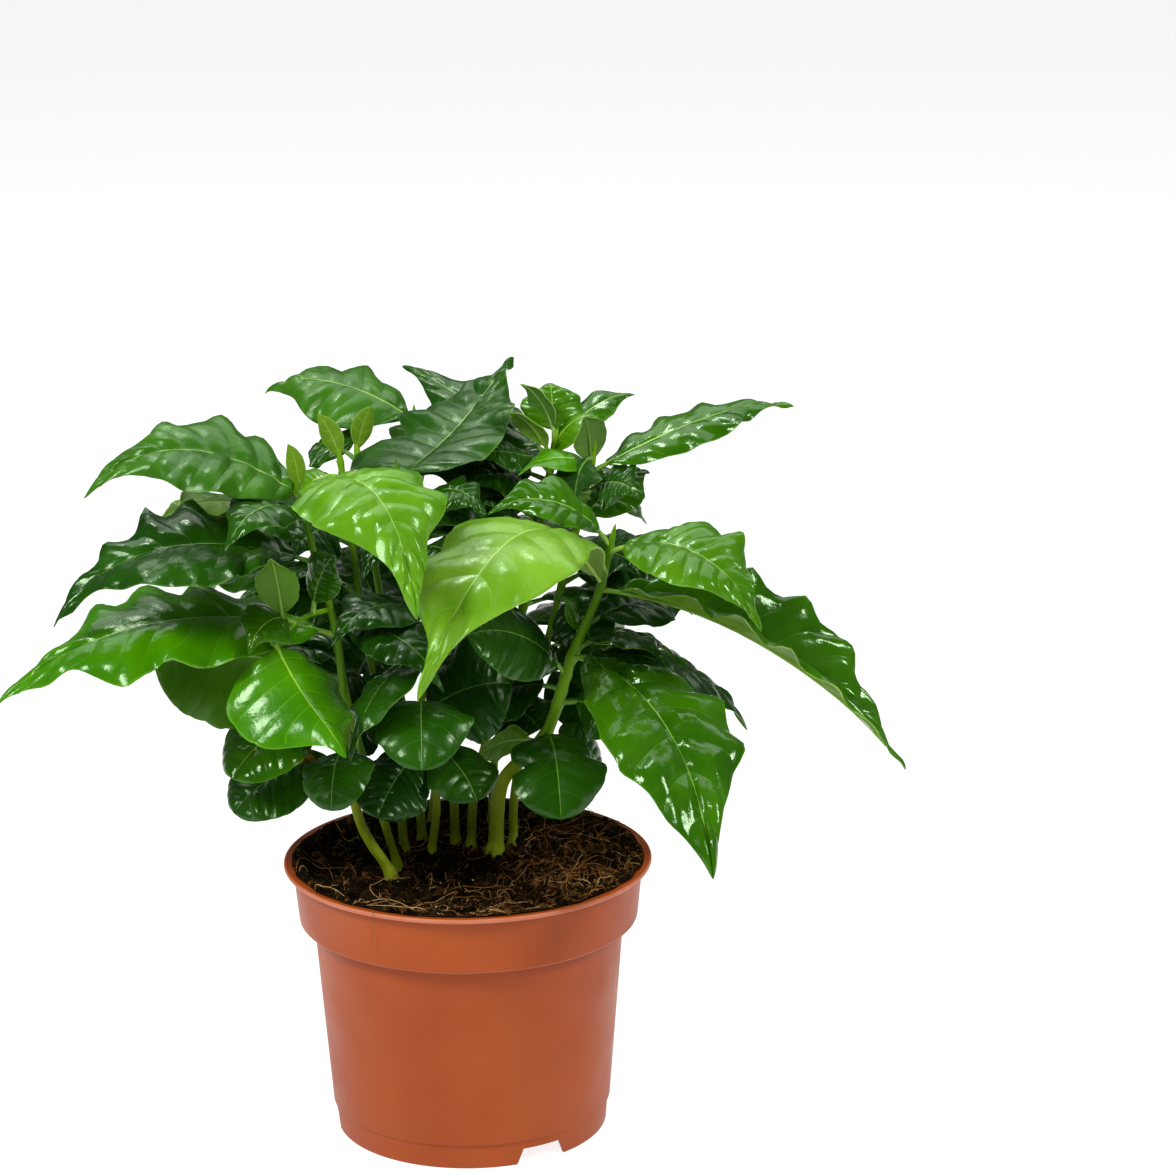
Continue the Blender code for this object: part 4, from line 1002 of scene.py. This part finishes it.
def blade_skin(base, item, dice, marks):
    """The blade's middle sheet: its rows, places across, vein strips, points and normals."""
    small = item.width < SMALL_WIDTH
    rows, bulge, span, strip = blade_rows(item.veins, ROWS_SMALL if small else ROWS_LARGE,
                                          VEIN_HALF / leaf_length(item))
    columns = np.array(COLUMNS[1::2] if small else COLUMNS)
    rib = np.minimum(RIB_MOST, (RIB_BASE + (RIB_TIP - RIB_BASE) * rows) / half_width(item, rows))
    right = np.concatenate((rib[:, None], np.broadcast_to(columns, (len(rows), len(columns)))), 1)
    v = np.concatenate((-right[:, ::-1], right), 1)
    wide = np.abs(v)
    lean = LEAN_ROUND if item.kind == ROUND else LEAN_BLADE
    reach = LEAN_STRAIGHT * wide + (1.0 - LEAN_STRAIGHT) * wide ** LEAN_POWER
    u = rows[:, None] + lean * np.sin(math.pi * rows)[:, None] * reach
    sides = (v > 0.0).astype(int)
    phase, phase_two = (np.array([dice.uniform(0.0, 1.0) for _ in range(2)])[sides] for _ in range(2))
    fade = np.clip(np.sin(math.pi * np.clip(u, 0.0, 1.0)), 0.0, 1.0) ** WAVE_FADE
    wave = (ripple(item.waves * u + phase)
            + WAVE_SECOND_SHARE * ripple(item.waves * WAVE_SECOND * u + phase_two))
    wave *= fade * (1.0 + WAVE_DRIFT * ripple(u + phase_two))
    half = half_width(item, u) * (1.0 + SCALLOP * bulge[:, None] * wide ** 3 * fade)
    half *= 1.0 + RUFFLE * item.wavy * wave * wide ** 2
    for side, middle, change, wane in marks:
        bump = change * np.exp(-((u - middle) / wane) ** 2)
        half *= np.where(v * side >= 0.0, 1.0 + bump, 1.0)
    fold = np.radians(item.fold + np.where(v > 0.0, item.lift, 0.0) * (1.0 - LIFT_FADE * u))
    swell = np.array([[dice.uniform(*QUILT_UNEVEN) for _ in range(2)] for _ in range(item.veins + 2)])
    puff = swell[span[:, None], sides] * bulge[:, None]
    edge = np.minimum(1.0, wide / QUILT_FROM) * (1.0 - QUILT_FLATTENS * wide ** 4)
    share = 0.0 if item.kind == ROUND else PILLOW_SHARE
    pillow = 1.0 + share * ripple(wide * half / PILLOW_LENGTH + span[:, None] * PILLOW_SHIFT + phase)
    scale = leaf_scale(item)
    level = (half * wide * np.sin(fold) + CUP * half * (wide - wide ** 2)
             - CURL * half * wide ** 4 + item.quilt * scale * puff * edge * pillow
             + item.wavy * scale * wave * wide ** WAVE_POWER)
    start = leaf_start(item)
    place, across, face = leaf_lines(item, base, start + (1.0 - start) * u)
    skin = place + across * (v * half * np.cos(fold))[..., None] + face * level[..., None]
    skin[..., 2] -= hook_drop(item, u)
    normal = unit(np.cross(np.gradient(skin, axis=1), np.gradient(skin, axis=0)))
    return rows, v, strip, skin, normal if np.sum(normal * face) > 0.0 else -normal


def outer_loop(count, columns):
    """The points round a grid's edge, in order."""
    return np.concatenate((np.arange(columns), columns * np.arange(1, count) + columns - 1,
                           columns * (count - 1) + np.arange(columns - 2, -1, -1),
                           columns * np.arange(count - 2, 0, -1)))


def add_petiole(piece, base, radius, item, mat):
    """A leaf's stalk, and the rib that runs on from it under the blade."""
    start = leaf_start(item)
    inset = radius * SUNK_SHARE / leaf_length(item)
    under = start + (1.0 - start) * np.linspace(0.0, RIB_STOP, RIB_RINGS)[1:]
    t = np.concatenate((np.linspace(inset, start, PETIOLE_RINGS), under))
    share = np.clip((t - start) / (1.0 - start), 0.0, 1.0)
    neck = PETIOLE_ROOT + (PETIOLE_NECK - PETIOLE_ROOT) * (t - inset) / max(1e-6, start - inset)
    thin = np.where(t <= start, neck, RIB_ROUND + (RIB_END - RIB_ROUND) * share)
    thin *= min(1.0, item.width / PETIOLE_SLIM_WIDTH)
    place, across, face = leaf_lines(item, base, t)
    drop = np.clip(share * RIB_SINKS, 0.0, 1.0) * thin * RIB_SUNK
    place[:, 2] -= hook_drop(item, share)
    tube(piece, place - face * drop[:, None], thin, PETIOLE_SIDES, mat, across)


def add_leaf(piece, base, radius, item, first_mat, dice, marks, scorch):
    """A leaf: a thin closed blade with veins, quilting and waved margins, and its petiole."""
    rows, v, strip, skin, normal = blade_skin(base, item, dice, marks)
    count, columns = v.shape
    upper = piece.add_points(skin + normal * SHEET / 2.0)
    lower = piece.add_points(skin - normal * SHEET / 2.0)
    corner, cell = piece.next_cell()
    spots = corner + np.stack((rows[:, None] + np.zeros_like(v), (v + 1.0) / 2.0), 2) * cell
    spots = spots.reshape(-1, 2)
    faces, i, j = grid_faces(count, columns, upper, flipped=True)
    middle = columns // 2 - 1
    # Side-vein strips and the outermost strip along each margin; the margin strip takes the vein tone,
    # partly the leaf's own paler edge and partly a painted rim highlight
    vein_furrow_shade_margin_highlight = (j == 0) | (j == columns - 2) | strip[i] & (np.abs(v[i, j]) < VEIN_REACH)
    mats = np.where(j == middle, first_mat + RIB_AND_RIM_HIGHLIGHT, np.where(vein_furrow_shade_margin_highlight, first_mat + VEIN_FURROW_SHADE_MARGIN_HIGHLIGHT, first_mat + TOP))
    for along, out, size, burnt in scorch:
        near = np.hypot((rows[i] - along) * SCORCH_LONG, v[i, j] - out) < size
        mats = np.where(near, burnt, mats)
    piece.add_faces(faces, mats, spots[faces - upper])
    faces, i, j = grid_faces(count, columns, lower)
    mats = np.where(j == middle, first_mat + RIB_AND_RIM_HIGHLIGHT, first_mat + UNDER)
    piece.add_faces(faces, mats, (spots - corner + piece.next_cell()[0])[faces - lower])
    loop = outer_loop(count, columns)
    after = np.roll(loop, -1)
    outer = spots + np.sign(spots - (corner + cell / 2.0)) * cell * RIM_PAD
    rim = np.stack((lower + loop, lower + after, upper + after, upper + loop), 1)
    rim_spots = np.stack((outer[loop], outer[after], spots[after], spots[loop]), 1)
    # The rim round the blade takes the pale rib tone: partly the leaf's own paler edge, partly a painted
    # rim highlight
    piece.add_faces(rim, first_mat + RIB_AND_RIM_HIGHLIGHT, rim_spots)
    add_petiole(piece, base, radius, item, first_mat + RIB_AND_RIM_HIGHLIGHT)


def build_crown(shoot, number, paths, mats, places):
    """One mass of leaves in place of the CAD's, and the heights of its nodes."""
    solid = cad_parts["crown_" + shoot.name]
    work = bmesh.new()
    work.from_mesh(solid.data)
    tree = BVHTree.FromBMesh(work)
    work.free()
    grown = []
    for order, item in enumerate(list(shoot.leaves) + list(fill_leaves(shoot, number, paths))):
        base, radius = leaf_base(shoot, paths, item)
        if is_grown(tree, base, item):
            grown.append((item, base, radius, order))
    for order, item in enumerate(INNER.get(shoot.name, ()), INNER_FROM):
        grown.append((item, *leaf_base(shoot, paths, item), order))
    piece = Piece(len(grown) * 3)
    for item, base, radius, order in grown:
        dice = random.Random(LEAF_SEED + number * 1000 + order)
        marks = [mark[2:] for mark in MARGINS if mark[:2] == (shoot.name, order)]
        scorch = [(*mark[2:], len(mats) - 1) for mark in SCORCHED if mark[:2] == (shoot.name, order)]
        add_leaf(piece, base, radius, item, places[item.shade], dice, marks, scorch)
    piece.build("leaves_" + shoot.name, mats, ["crown_" + shoot.name])
    return grown


# Stems
def bark_relief(nodes):
    """Swellings where leaves stand, faint ridges along the stem and fine unevenness."""
    def relief(points, turn):
        swell = np.zeros(len(points))
        for height in nodes:
            swell += NODE_SWELL * np.exp(-((points[:, 2] - height) / NODE_LONG) ** 2)
        swell = np.minimum(swell, NODE_SWELL * SWELL_MOST)
        ridge = RIDGE * np.sin(RIDGE_COUNT * turn)[None, :] + np.zeros((len(points), 1))
        rough = np.array([[noise.noise(Vector((math.cos(a) * BARK_ROUND, math.sin(a) * BARK_ROUND,
                                               z * BARK_LONG))) for a in turn] for z in points[:, 2]])
        return 1.0 + swell[:, None] + ridge + BARK_ROUGH * rough
    return relief


def build_stem(shoot, paths, grown, bark, twigs):
    """The bare stem and, above its fork, the twigs of its crown with their scales."""
    path = paths[0]
    foot = soil_height(shoot.path[0][0], shoot.path[0][1]) - STEM_SUNK
    top = shoot.path[-1][2]
    nodes = sorted(set(round(item.at) for item, *_ in grown if item.limb == 0))
    relief = bark_relief(nodes)
    for name, low, high, node, cells in (
            ("bark_", foot, shoot.fork, "stem_", 1),
            ("twigs_", shoot.fork, top, "crown_", 1 + len(shoot.twigs) + 2 * len(grown))):
        piece = Piece(cells)
        heights = np.linspace(low, high, max(4, int((high - low) / STEM_RING)))
        points = [at_height(path, h) for h in heights]
        for h, point in zip(heights, points):
            if h < point.z:
                point.z = h
        radii = [stem_radius(shoot, h) for h in heights]
        if node == "crown_":
            onward = (points[-1] - points[-2]).normalized()
            points += [points[-1] + onward * TOP_LONG * share for share, _ in TOP_TAPER]
            radii += [radii[-1] * thinner for _, thinner in TOP_TAPER]
        tube(piece, points, radii, STEM_SIDES, 0, relief=relief)
        if node == "crown_":
            for twig in paths[1:]:
                line = twig[::TWIG_THINNED]
                tube(piece, line, [TWIG_TOP_RADIUS] * len(line), TWIG_SIDES, 0)
            for item, base, radius, _ in grown:
                if item.limb == 0:
                    add_scale(piece, path, item, radius)
        mats = twigs if node == "crown_" else bark
        piece.build(name + shoot.name, mats, [node + shoot.name])


def add_scale(piece, path, item, radius):
    """The small pointed scale that sits above a leaf's foot on its stem."""
    out = Vector((item.right, item.back, 0.0)).normalized() * radius
    foot = at_height(path, item.at + SCALE_FOOT)
    tip = at_height(path, item.at + SCALE_LONG)
    marks = [foot.lerp(tip, share) + out * (SCALE_OUT[0] + SCALE_OUT[1] * share)
             for share, _ in SCALE_TAPER]
    tube(piece, marks, [size for _, size in SCALE_TAPER], SCALE_SIDES, 0)


def build_plant():
    mats, places = leaf_materials()
    bark, twigs = ([surface(name, low, high, rough, BARK_MOTTLE, tint=LEAF_SHEEN, **BARK_GRAIN)]
                   for name, low, high, rough in BARKS)
    for number, shoot in enumerate(SHOOTS):
        paths = limb_paths(shoot)
        grown = build_crown(shoot, number, paths, mats, places)
        build_stem(shoot, paths, grown, bark, twigs)


# Pot
def rounded(profile):
    """A profile of (radius, height, rounding) with its corners rounded off, as plain pairs."""
    out = []
    for index, (r, z, size) in enumerate(profile):
        if not size or index in (0, len(profile) - 1):
            out.append((r, z))
            continue
        corner = Vector((r, z))
        back = Vector(profile[index - 1][:2]) - corner
        on = Vector(profile[index + 1][:2]) - corner
        first = corner + back.normalized() * min(size, back.length * CORNER_MOST)
        last = corner + on.normalized() * min(size, on.length * CORNER_MOST)
        for i in range(CORNER_STEPS + 1):
            t = i / CORNER_STEPS
            place = first * (1.0 - t) ** 2 + corner * 2.0 * t * (1.0 - t) + last * t * t
            out.append((place.x, place.y))
    return out


def pot_profile():
    """The wall's section from its inner middle round to its outer one: radius, height, rounding."""
    return rounded((
        (0.0, WALL, 0.0),
        (PAD_RADIUS - WALL, WALL, 0.5),
        (PAD_RADIUS, BASE_TOP, 0.5),
        (BODY_LOW_RADIUS - WALL, BASE_TOP, 1.2),
        (BODY_TOP_RADIUS - WALL, STEP_INNER_LOW, 0.6),
        (BAND_LOW_RADIUS - WALL, STEP_INNER_TOP, 0.6),
        (BAND_TOP_RADIUS - WALL, LIP_TOP - LIP_DISH, 0.7),
        (LIP_RADIUS - LIP_DISH, LIP_TOP, 0.5),
        (LIP_RADIUS, LIP_TOP - LIP_DISH, 0.4),
        (LIP_RADIUS - LIP_DISH / 2.0, LIP_TOP - LIP_THICK, 0.4),
        (BAND_TOP_RADIUS, LIP_TOP - LIP_THICK - LIP_DISH, 0.7),
        (BAND_LOW_RADIUS, BAND_LOW + BAND_ROUND, 0.7),
        (BAND_LOW_RADIUS - BAND_UNDER, BAND_LOW, 0.3),
        (BODY_TOP_RADIUS, BAND_LOW - BAND_UNDER, 0.6),
        (BODY_LOW_RADIUS, BODY_LOW, 0.3),
        (FOOT_TOP_RADIUS, BODY_LOW - FOOT_STEP, 0.25),
        (FOOT_TOP_RADIUS, BODY_LOW - FOOT_DROP, 0.4),
        (FOOT_LOW_RADIUS, 0.0, 0.5),
        (FOOT_INNER_RADIUS, 0.0, 0.3),
        (FOOT_INNER_RADIUS, BASE_UNDER, 0.8),
        (PAD_RADIUS + WALL, BASE_UNDER, 0.4),
        (PAD_RADIUS, 0.0, 0.3),
        (0.0, 0.0, 0.0),
    ))


def add_ring(work, reach, height, turns, middle=(0.0, 0.0)):
    """A level ring of points at these turns, its sizes in mm."""
    return [work.verts.new(((middle[0] + reach * math.cos(a)) * MM,
                            (middle[1] + reach * math.sin(a)) * MM, height * MM)) for a in turns]


def even_turns(sides):
    return [2.0 * math.pi * i / sides for i in range(sides)]


def join_rings(work, rings):
    for low, high in zip(rings, rings[1:]):
        for i, corner in enumerate(low):
            j = (i + 1) % len(low)
            work.faces.new((corner, low[j], high[j], high[i]))


def close_ring(work, ring, middle):
    for i, corner in enumerate(ring):
        work.faces.new((corner, ring[(i + 1) % len(ring)], middle))


def finished_mesh(work, name):
    bmesh.ops.recalc_face_normals(work, faces=work.faces)
    mesh = bpy.data.meshes.new(name)
    work.to_mesh(mesh)
    work.free()
    return mesh


def turned_mesh(name, profile, sides):
    """A closed solid turned about the upright axis, its first and last points on the axis."""
    work = bmesh.new()
    rings = [add_ring(work, r, z, even_turns(sides)) for r, z in profile[1:-1]]
    ends = [work.verts.new((0.0, 0.0, z * MM)) for z in (profile[0][1], profile[-1][1])]
    join_rings(work, rings)
    close_ring(work, rings[0], ends[0])
    close_ring(work, rings[-1], ends[1])
    return finished_mesh(work, name)


def wedge(work, turn):
    """A notch's shape through the foot ring, wider at the ground than at its top."""
    corners = []
    for height, angle in ((-NOTCH_BELOW, NOTCH_LOW_ANGLE), (NOTCH_HEIGHT, NOTCH_TOP_ANGLE)):
        for reach in (NOTCH_INNER, NOTCH_OUTER):
            ways = [math.radians(turn + side * angle / 2.0) for side in (-1.0, 1.0)]
            corners += add_ring(work, reach, height, ways)
    for face in ((0, 1, 3, 2), (4, 5, 7, 6), (0, 1, 5, 4), (2, 3, 7, 6), (0, 2, 6, 4), (1, 3, 7, 5)):
        work.faces.new([corners[i] for i in face])


def drain(work, turn):
    way = math.radians(turn)
    middle = (HOLE_RING * math.cos(way), HOLE_RING * math.sin(way))
    rings = [add_ring(work, HOLE_RADIUS, height, even_turns(HOLE_SIDES), middle)
             for height in (BASE_UNDER - HOLE_DEEP, BASE_TOP + HOLE_DEEP)]
    for ring in rings:
        work.faces.new(ring)
    join_rings(work, rings)


def build_pot():
    mesh = turned_mesh("pot_shell", pot_profile(), POT_SIDES)
    work = bmesh.new()
    for i in range(NOTCH_COUNT):
        wedge(work, NOTCH_FIRST_TURN + 360.0 * i / NOTCH_COUNT)
    for i in range(HOLE_COUNT):
        drain(work, HOLE_FIRST_TURN + 360.0 * i / HOLE_COUNT)
    shell = bpy.data.objects.new("shell", mesh)
    cutter = bpy.data.objects.new("cutter", finished_mesh(work, "cuts"))
    for obj in (shell, cutter):
        bpy.context.scene.collection.objects.link(obj)
    cut = shell.modifiers.new("cut", "BOOLEAN")
    cut.operation = "DIFFERENCE"
    cut.solver = "EXACT"
    cut.object = cutter
    bpy.context.view_layer.update()
    graph = bpy.context.evaluated_depsgraph_get()
    made = bpy.data.meshes.new_from_object(shell.evaluated_get(graph))
    bpy.data.objects.remove(shell)
    bpy.data.objects.remove(cutter)
    made.materials.clear()
    made.materials.append(surface("pot_plastic", POT_LOW, POT_HIGH, POT_ROUGH, POT_MOTTLE, POT_GRAIN,
                                  POT_GRAIN_DEPTH, specular=POT_GLOSS))
    made.materials.append(surface("pot_edge_highlight", POT_EDGE_HIGHLIGHT_LOW, POT_EDGE_HIGHLIGHT_HIGH, EDGE_ROUGH, EDGE_MOTTLE))
    # Faces on the lip's outer edge and along the band's lower edge get the lighter tone: a painted
    # highlight line
    painted_highlight = np.zeros(len(made.polygons), int)
    for index, face in enumerate(made.polygons):
        x, y, z = face.center / MM
        reach = math.hypot(x, y)
        on_lip = z > LIP_TOP - LIP_THICK and reach > LIP_RADIUS - LIP_DISH
        on_band = (-EDGE_HIGHLIGHT_BOUNDS[0] < z - BAND_LOW < BAND_ROUND
                   and -EDGE_HIGHLIGHT_BOUNDS[1] < reach - BAND_LOW_RADIUS < EDGE_HIGHLIGHT_BOUNDS[2])
        painted_highlight[index] = 1 if on_lip or on_band else 0
    made.polygons.foreach_set("material_index", painted_highlight)
    made.polygons.foreach_set("use_smooth", np.ones(len(painted_highlight), bool))
    made.set_sharp_from_angle(angle=math.radians(POT_SHARP))
    place_piece("pot_turned", made, ["pot"])


# Soil
def soil_rough(x, y):
    """Clods and crumbs of the peat's surface in mm."""
    place = Vector((x, y, 0.0))
    clods = noise.noise(place * CLOD_SCALE) * CLOD_HIGH
    return clods + noise.turbulence(place * LOOSE_SCALE, LOOSE_DETAIL, False) * LOOSE_HIGH - ROUGH_SUNK


def soil_edge(turn):
    """How far the peat reaches at this turn, ragged, over the pot's wall and part of its lip."""
    place = Vector((math.cos(turn) * RAGGED_TURNS, math.sin(turn) * RAGGED_TURNS, RAGGED_PLACE))
    return SOIL_REACH - SOIL_RAGGED + SOIL_RAGGED * noise.noise(place)


def soil_top(x, y):
    turn = math.atan2(y, x)
    share = math.hypot(x, y) / soil_edge(turn)
    bank = max(0.0, (share - SOIL_BANK_FROM) / (1.0 - SOIL_BANK_FROM))
    bank *= SOIL_BANK_LEAST + (1.0 - SOIL_BANK_LEAST) * (0.5 + 0.5 * math.cos(turn - SOIL_BANK_WAY))
    rough = soil_rough(x, y)
    inner = soil_height(x, y) + rough + SOIL_BANK * bank
    rim = SOIL_RIM_TOP + SOIL_RIM_ROUGH * max(0.0, rough)
    return inner + max(0.0, rim - inner) * eased(part_way(share, SOIL_RIM_FROM, SOIL_RIM_TO))


def build_soil():
    work = bmesh.new()
    turns = even_turns(SOIL_SIDES)
    edges = [soil_edge(a) for a in turns]
    rings = []
    for k in range(1, SOIL_RINGS + 1):
        places = [(edge * k / SOIL_RINGS * math.cos(a), edge * k / SOIL_RINGS * math.sin(a))
                  for a, edge in zip(turns, edges)]
        rings.append([work.verts.new((x * MM, y * MM, soil_top(x, y) * MM)) for x, y in places])
    for radius, height in ((BAND_TOP_RADIUS, LIP_TOP - SOIL_GAP), (BAND_LOW_RADIUS, SOIL_SHOULDER),
                           (BODY_TOP_RADIUS, STEP_INNER_LOW), (BODY_LOW_RADIUS, BASE_TOP + SOIL_GAP)):
        rings.append(add_ring(work, radius - WALL - SOIL_GAP, height, turns))
    join_rings(work, rings)
    for ring, height in ((rings[0], soil_top(0.0, 0.0)), (rings[-1], BASE_TOP + SOIL_GAP)):
        close_ring(work, ring, work.verts.new((0.0, 0.0, height * MM)))
    mesh = finished_mesh(work, "peat")
    mesh.polygons.foreach_set("use_smooth", np.ones(len(mesh.polygons), bool))
    mesh.materials.append(surface("peat", PEAT_LOW, PEAT_HIGH, PEAT_ROUGH, PEAT_MOTTLE, PEAT_GRAIN,
                                  PEAT_GRAIN_DEPTH, specular=PEAT_GLOSS))
    place_piece("peat", mesh, ["soil"])


def lump_shape(fine):
    work = bmesh.new()
    bmesh.ops.create_icosphere(work, subdivisions=fine, radius=1.0)
    points = np.array([tuple(v.co) for v in work.verts])
    faces = np.array([[v.index for v in f.verts] for f in work.faces])
    work.free()
    return points, faces


def build_crumbs():
    """Crumbs of peat and a few white grains strewn over the soil, one joined piece."""
    dice = np.random.default_rng(CRUMB_SEED)
    mats = [surface(*tones, PEAT_ROUGH, CRUMB_MOTTLE, specular=PEAT_GLOSS) for tones in CRUMB_TONES]
    mats.append(surface(*GRAIN_LOOKS, CRUMB_MOTTLE))
    piece = Piece()
    shapes = [lump_shape(1), lump_shape(2)]
    for index in range(CRUMB_COUNT):
        grain = index < GRAIN_COUNT
        large = not grain and index % CRUMB_LARGE_EVERY == 0
        points, faces = shapes[large]
        turn = dice.uniform(0.0, 2.0 * math.pi)
        reach = math.sqrt(dice.uniform(0.0, 1.0)) * (soil_edge(turn) - CRUMB_EDGE)
        x, y = reach * math.cos(turn), reach * math.sin(turn)
        size = dice.uniform(*(GRAIN_SIZES if grain else CRUMB_SIZES[large]))
        stretch = dice.uniform(*CRUMB_STRETCH, 3) * size
        shape = points * dice.uniform(*CRUMB_UNEVEN, (len(points), 1)) * stretch
        axes = np.linalg.qr(dice.normal(size=(3, 3)))[0]
        shape = shape @ axes + np.array((x, y, soil_top(x, y) + size * CRUMB_OUT))
        mat = len(CRUMB_TONES) if grain else int(dice.choice(TONE_MIX, 1)[0])
        first = piece.add_points(shape)
        flat = (shape[:, :2] + SOIL_REACH) / (2.0 * SOIL_REACH)
        piece.add_faces(faces + first, mat, flat[faces])
    piece.build("crumbs", mats, sharp=CRUMB_SHARP)


def strand(dice, start, way, length, radius, lift, bend):
    """A thin curved fibre that lies on the soil, or arches over it."""
    x, y = start
    points = []
    for share in np.linspace(0.0, 1.0, FIBRE_POINTS):
        points.append((x, y, soil_top(x, y) + radius * FIBRE_RAISED + lift * math.sin(math.pi * share)))
        way += dice.normal(0.0, FIBRE_KINK) + bend
        x += math.cos(way) * length / FIBRE_POINTS
        y += math.sin(way) * length / FIBRE_POINTS
        kept = min(1.0, (soil_edge(math.atan2(y, x)) - FIBRE_EDGE) / math.hypot(x, y))
        x, y = x * kept, y * kept
    smooth = np.array(points)
    smooth[1:-1, 2] = (smooth[:-2, 2] + smooth[1:-1, 2] * 2.0 + smooth[2:, 2]) / 4.0
    round_off = np.sin(math.pi * np.linspace(*FIBRE_TAPER, FIBRE_POINTS))
    return smooth, radius * (FIBRE_THIN + (1.0 - FIBRE_THIN) * round_off)


def build_fibres():
    """Rootlets and fibres of the peat, most of them at the right."""
    dice = np.random.default_rng(FIBRE_SEED)
    mats = [surface(*tones, FIBRE_ROUGH, FIBRE_MOTTLE, specular=FIBRE_GLOSS) for tones in FIBRE_TONES]
    piece = Piece(FIBRE_COUNT + 1)
    for index in range(FIBRE_COUNT):
        turn = dice.normal(*FIBRE_AHEAD) if index % 2 else dice.uniform(0.0, 2.0 * math.pi)
        reach = math.sqrt(dice.uniform(FIBRE_INNER, 1.0)) * SOIL_REACH * FIBRE_OUTER
        start = (reach * math.cos(turn), reach * math.sin(turn))
        long = index % FIBRE_LONG_EVERY == 0
        length = dice.uniform(*FIBRE_LENGTHS[long])
        radius = dice.uniform(*FIBRE_RADII[long])
        lift = dice.uniform(*FIBRE_LIFTS[index % FIBRE_ARCH_EVERY == 0])
        way = dice.uniform(0.0, 2.0 * math.pi)
        points, thin = strand(dice, start, way, length, radius, lift, dice.normal(0.0, FIBRE_BEND))
        tube(piece, points, thin, FIBRE_SIDES, int(dice.choice(TONE_MIX, 1)[0]))
    line = curve_through(HANGING, HANGING_STEPS)
    tube(piece, line, np.full(len(line), HANGING_RADIUS), FIBRE_SIDES, 1)
    piece.build("fibres", mats)


# Stage, light and camera
def build_stage():
    mesh = bpy.data.meshes.new("floor")
    corners = ((-1.0, -1.0), (1.0, -1.0), (1.0, 1.0), (-1.0, 1.0))
    mesh.from_pydata([(x * FLOOR_REACH, y * FLOOR_REACH, 0.0) for x, y in corners], [], [(0, 1, 2, 3)])
    floor = bpy.data.objects.new("floor", mesh)
    pale = surface("pale_floor", FLOOR_TONE, FLOOR_TONE, FLOOR_ROUGH, FLOOR_MOTTLE, specular=FLOOR_GLOSS)
    shader = pale.node_tree.nodes["Principled BSDF"]
    shader.inputs["Emission Color"].default_value = WHITE
    shader.inputs["Emission Strength"].default_value = FLOOR_GLOW
    mesh.materials.append(pale)
    bpy.context.scene.collection.objects.link(floor)


def add_light(name, place, aim_height, size, power, mirrored):
    data = bpy.data.lights.new(name, "AREA")
    data.shape = "RECTANGLE"
    data.size, data.size_y = size
    data.energy = power
    obj = bpy.data.objects.new(name, data)
    obj.visible_glossy = mirrored
    way = Vector((0.0, 0.0, aim_height)) - Vector(place)
    obj.matrix_world = Matrix.Translation(place) @ way.to_track_quat("-Z", "Y").to_matrix().to_4x4()
    bpy.context.scene.collection.objects.link(obj)


def build_light():
    world = bpy.data.worlds.new("studio")
    world.use_nodes = True
    ground = world.node_tree.nodes["Background"]
    ground.inputs["Color"].default_value = WHITE
    ground.inputs["Strength"].default_value = WORLD_LIGHT
    bpy.context.scene.world = world
    for light in LIGHTS:
        add_light(*light)


def build_camera():
    yaw, pitch, roll = (math.radians(a) for a in (CAMERA_YAW, CAMERA_PITCH, CAMERA_ROLL))
    ahead = Vector((math.sin(yaw) * math.cos(pitch), math.cos(yaw) * math.cos(pitch), math.sin(pitch)))
    level = Vector((math.cos(yaw), -math.sin(yaw), 0.0))
    over = level.cross(ahead)
    right = level * math.cos(roll) + over * math.sin(roll)
    above = over * math.cos(roll) - level * math.sin(roll)
    data = bpy.data.cameras.new("camera")
    data.lens = CAMERA_LENS
    data.sensor_width = SENSOR
    data.clip_start, data.clip_end = CAMERA_SEES
    obj = bpy.data.objects.new("camera", data)
    turn = Matrix((right, above, -ahead)).transposed().to_4x4()
    obj.matrix_world = Matrix.Translation(CAMERA_AT) @ turn
    bpy.context.scene.collection.objects.link(obj)
    bpy.context.scene.camera = obj


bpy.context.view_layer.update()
build_pot()
build_soil()
build_crumbs()
build_fibres()
build_plant()
build_stage()
build_light()
build_camera()
bpy.context.scene.view_settings.view_transform = "Standard"
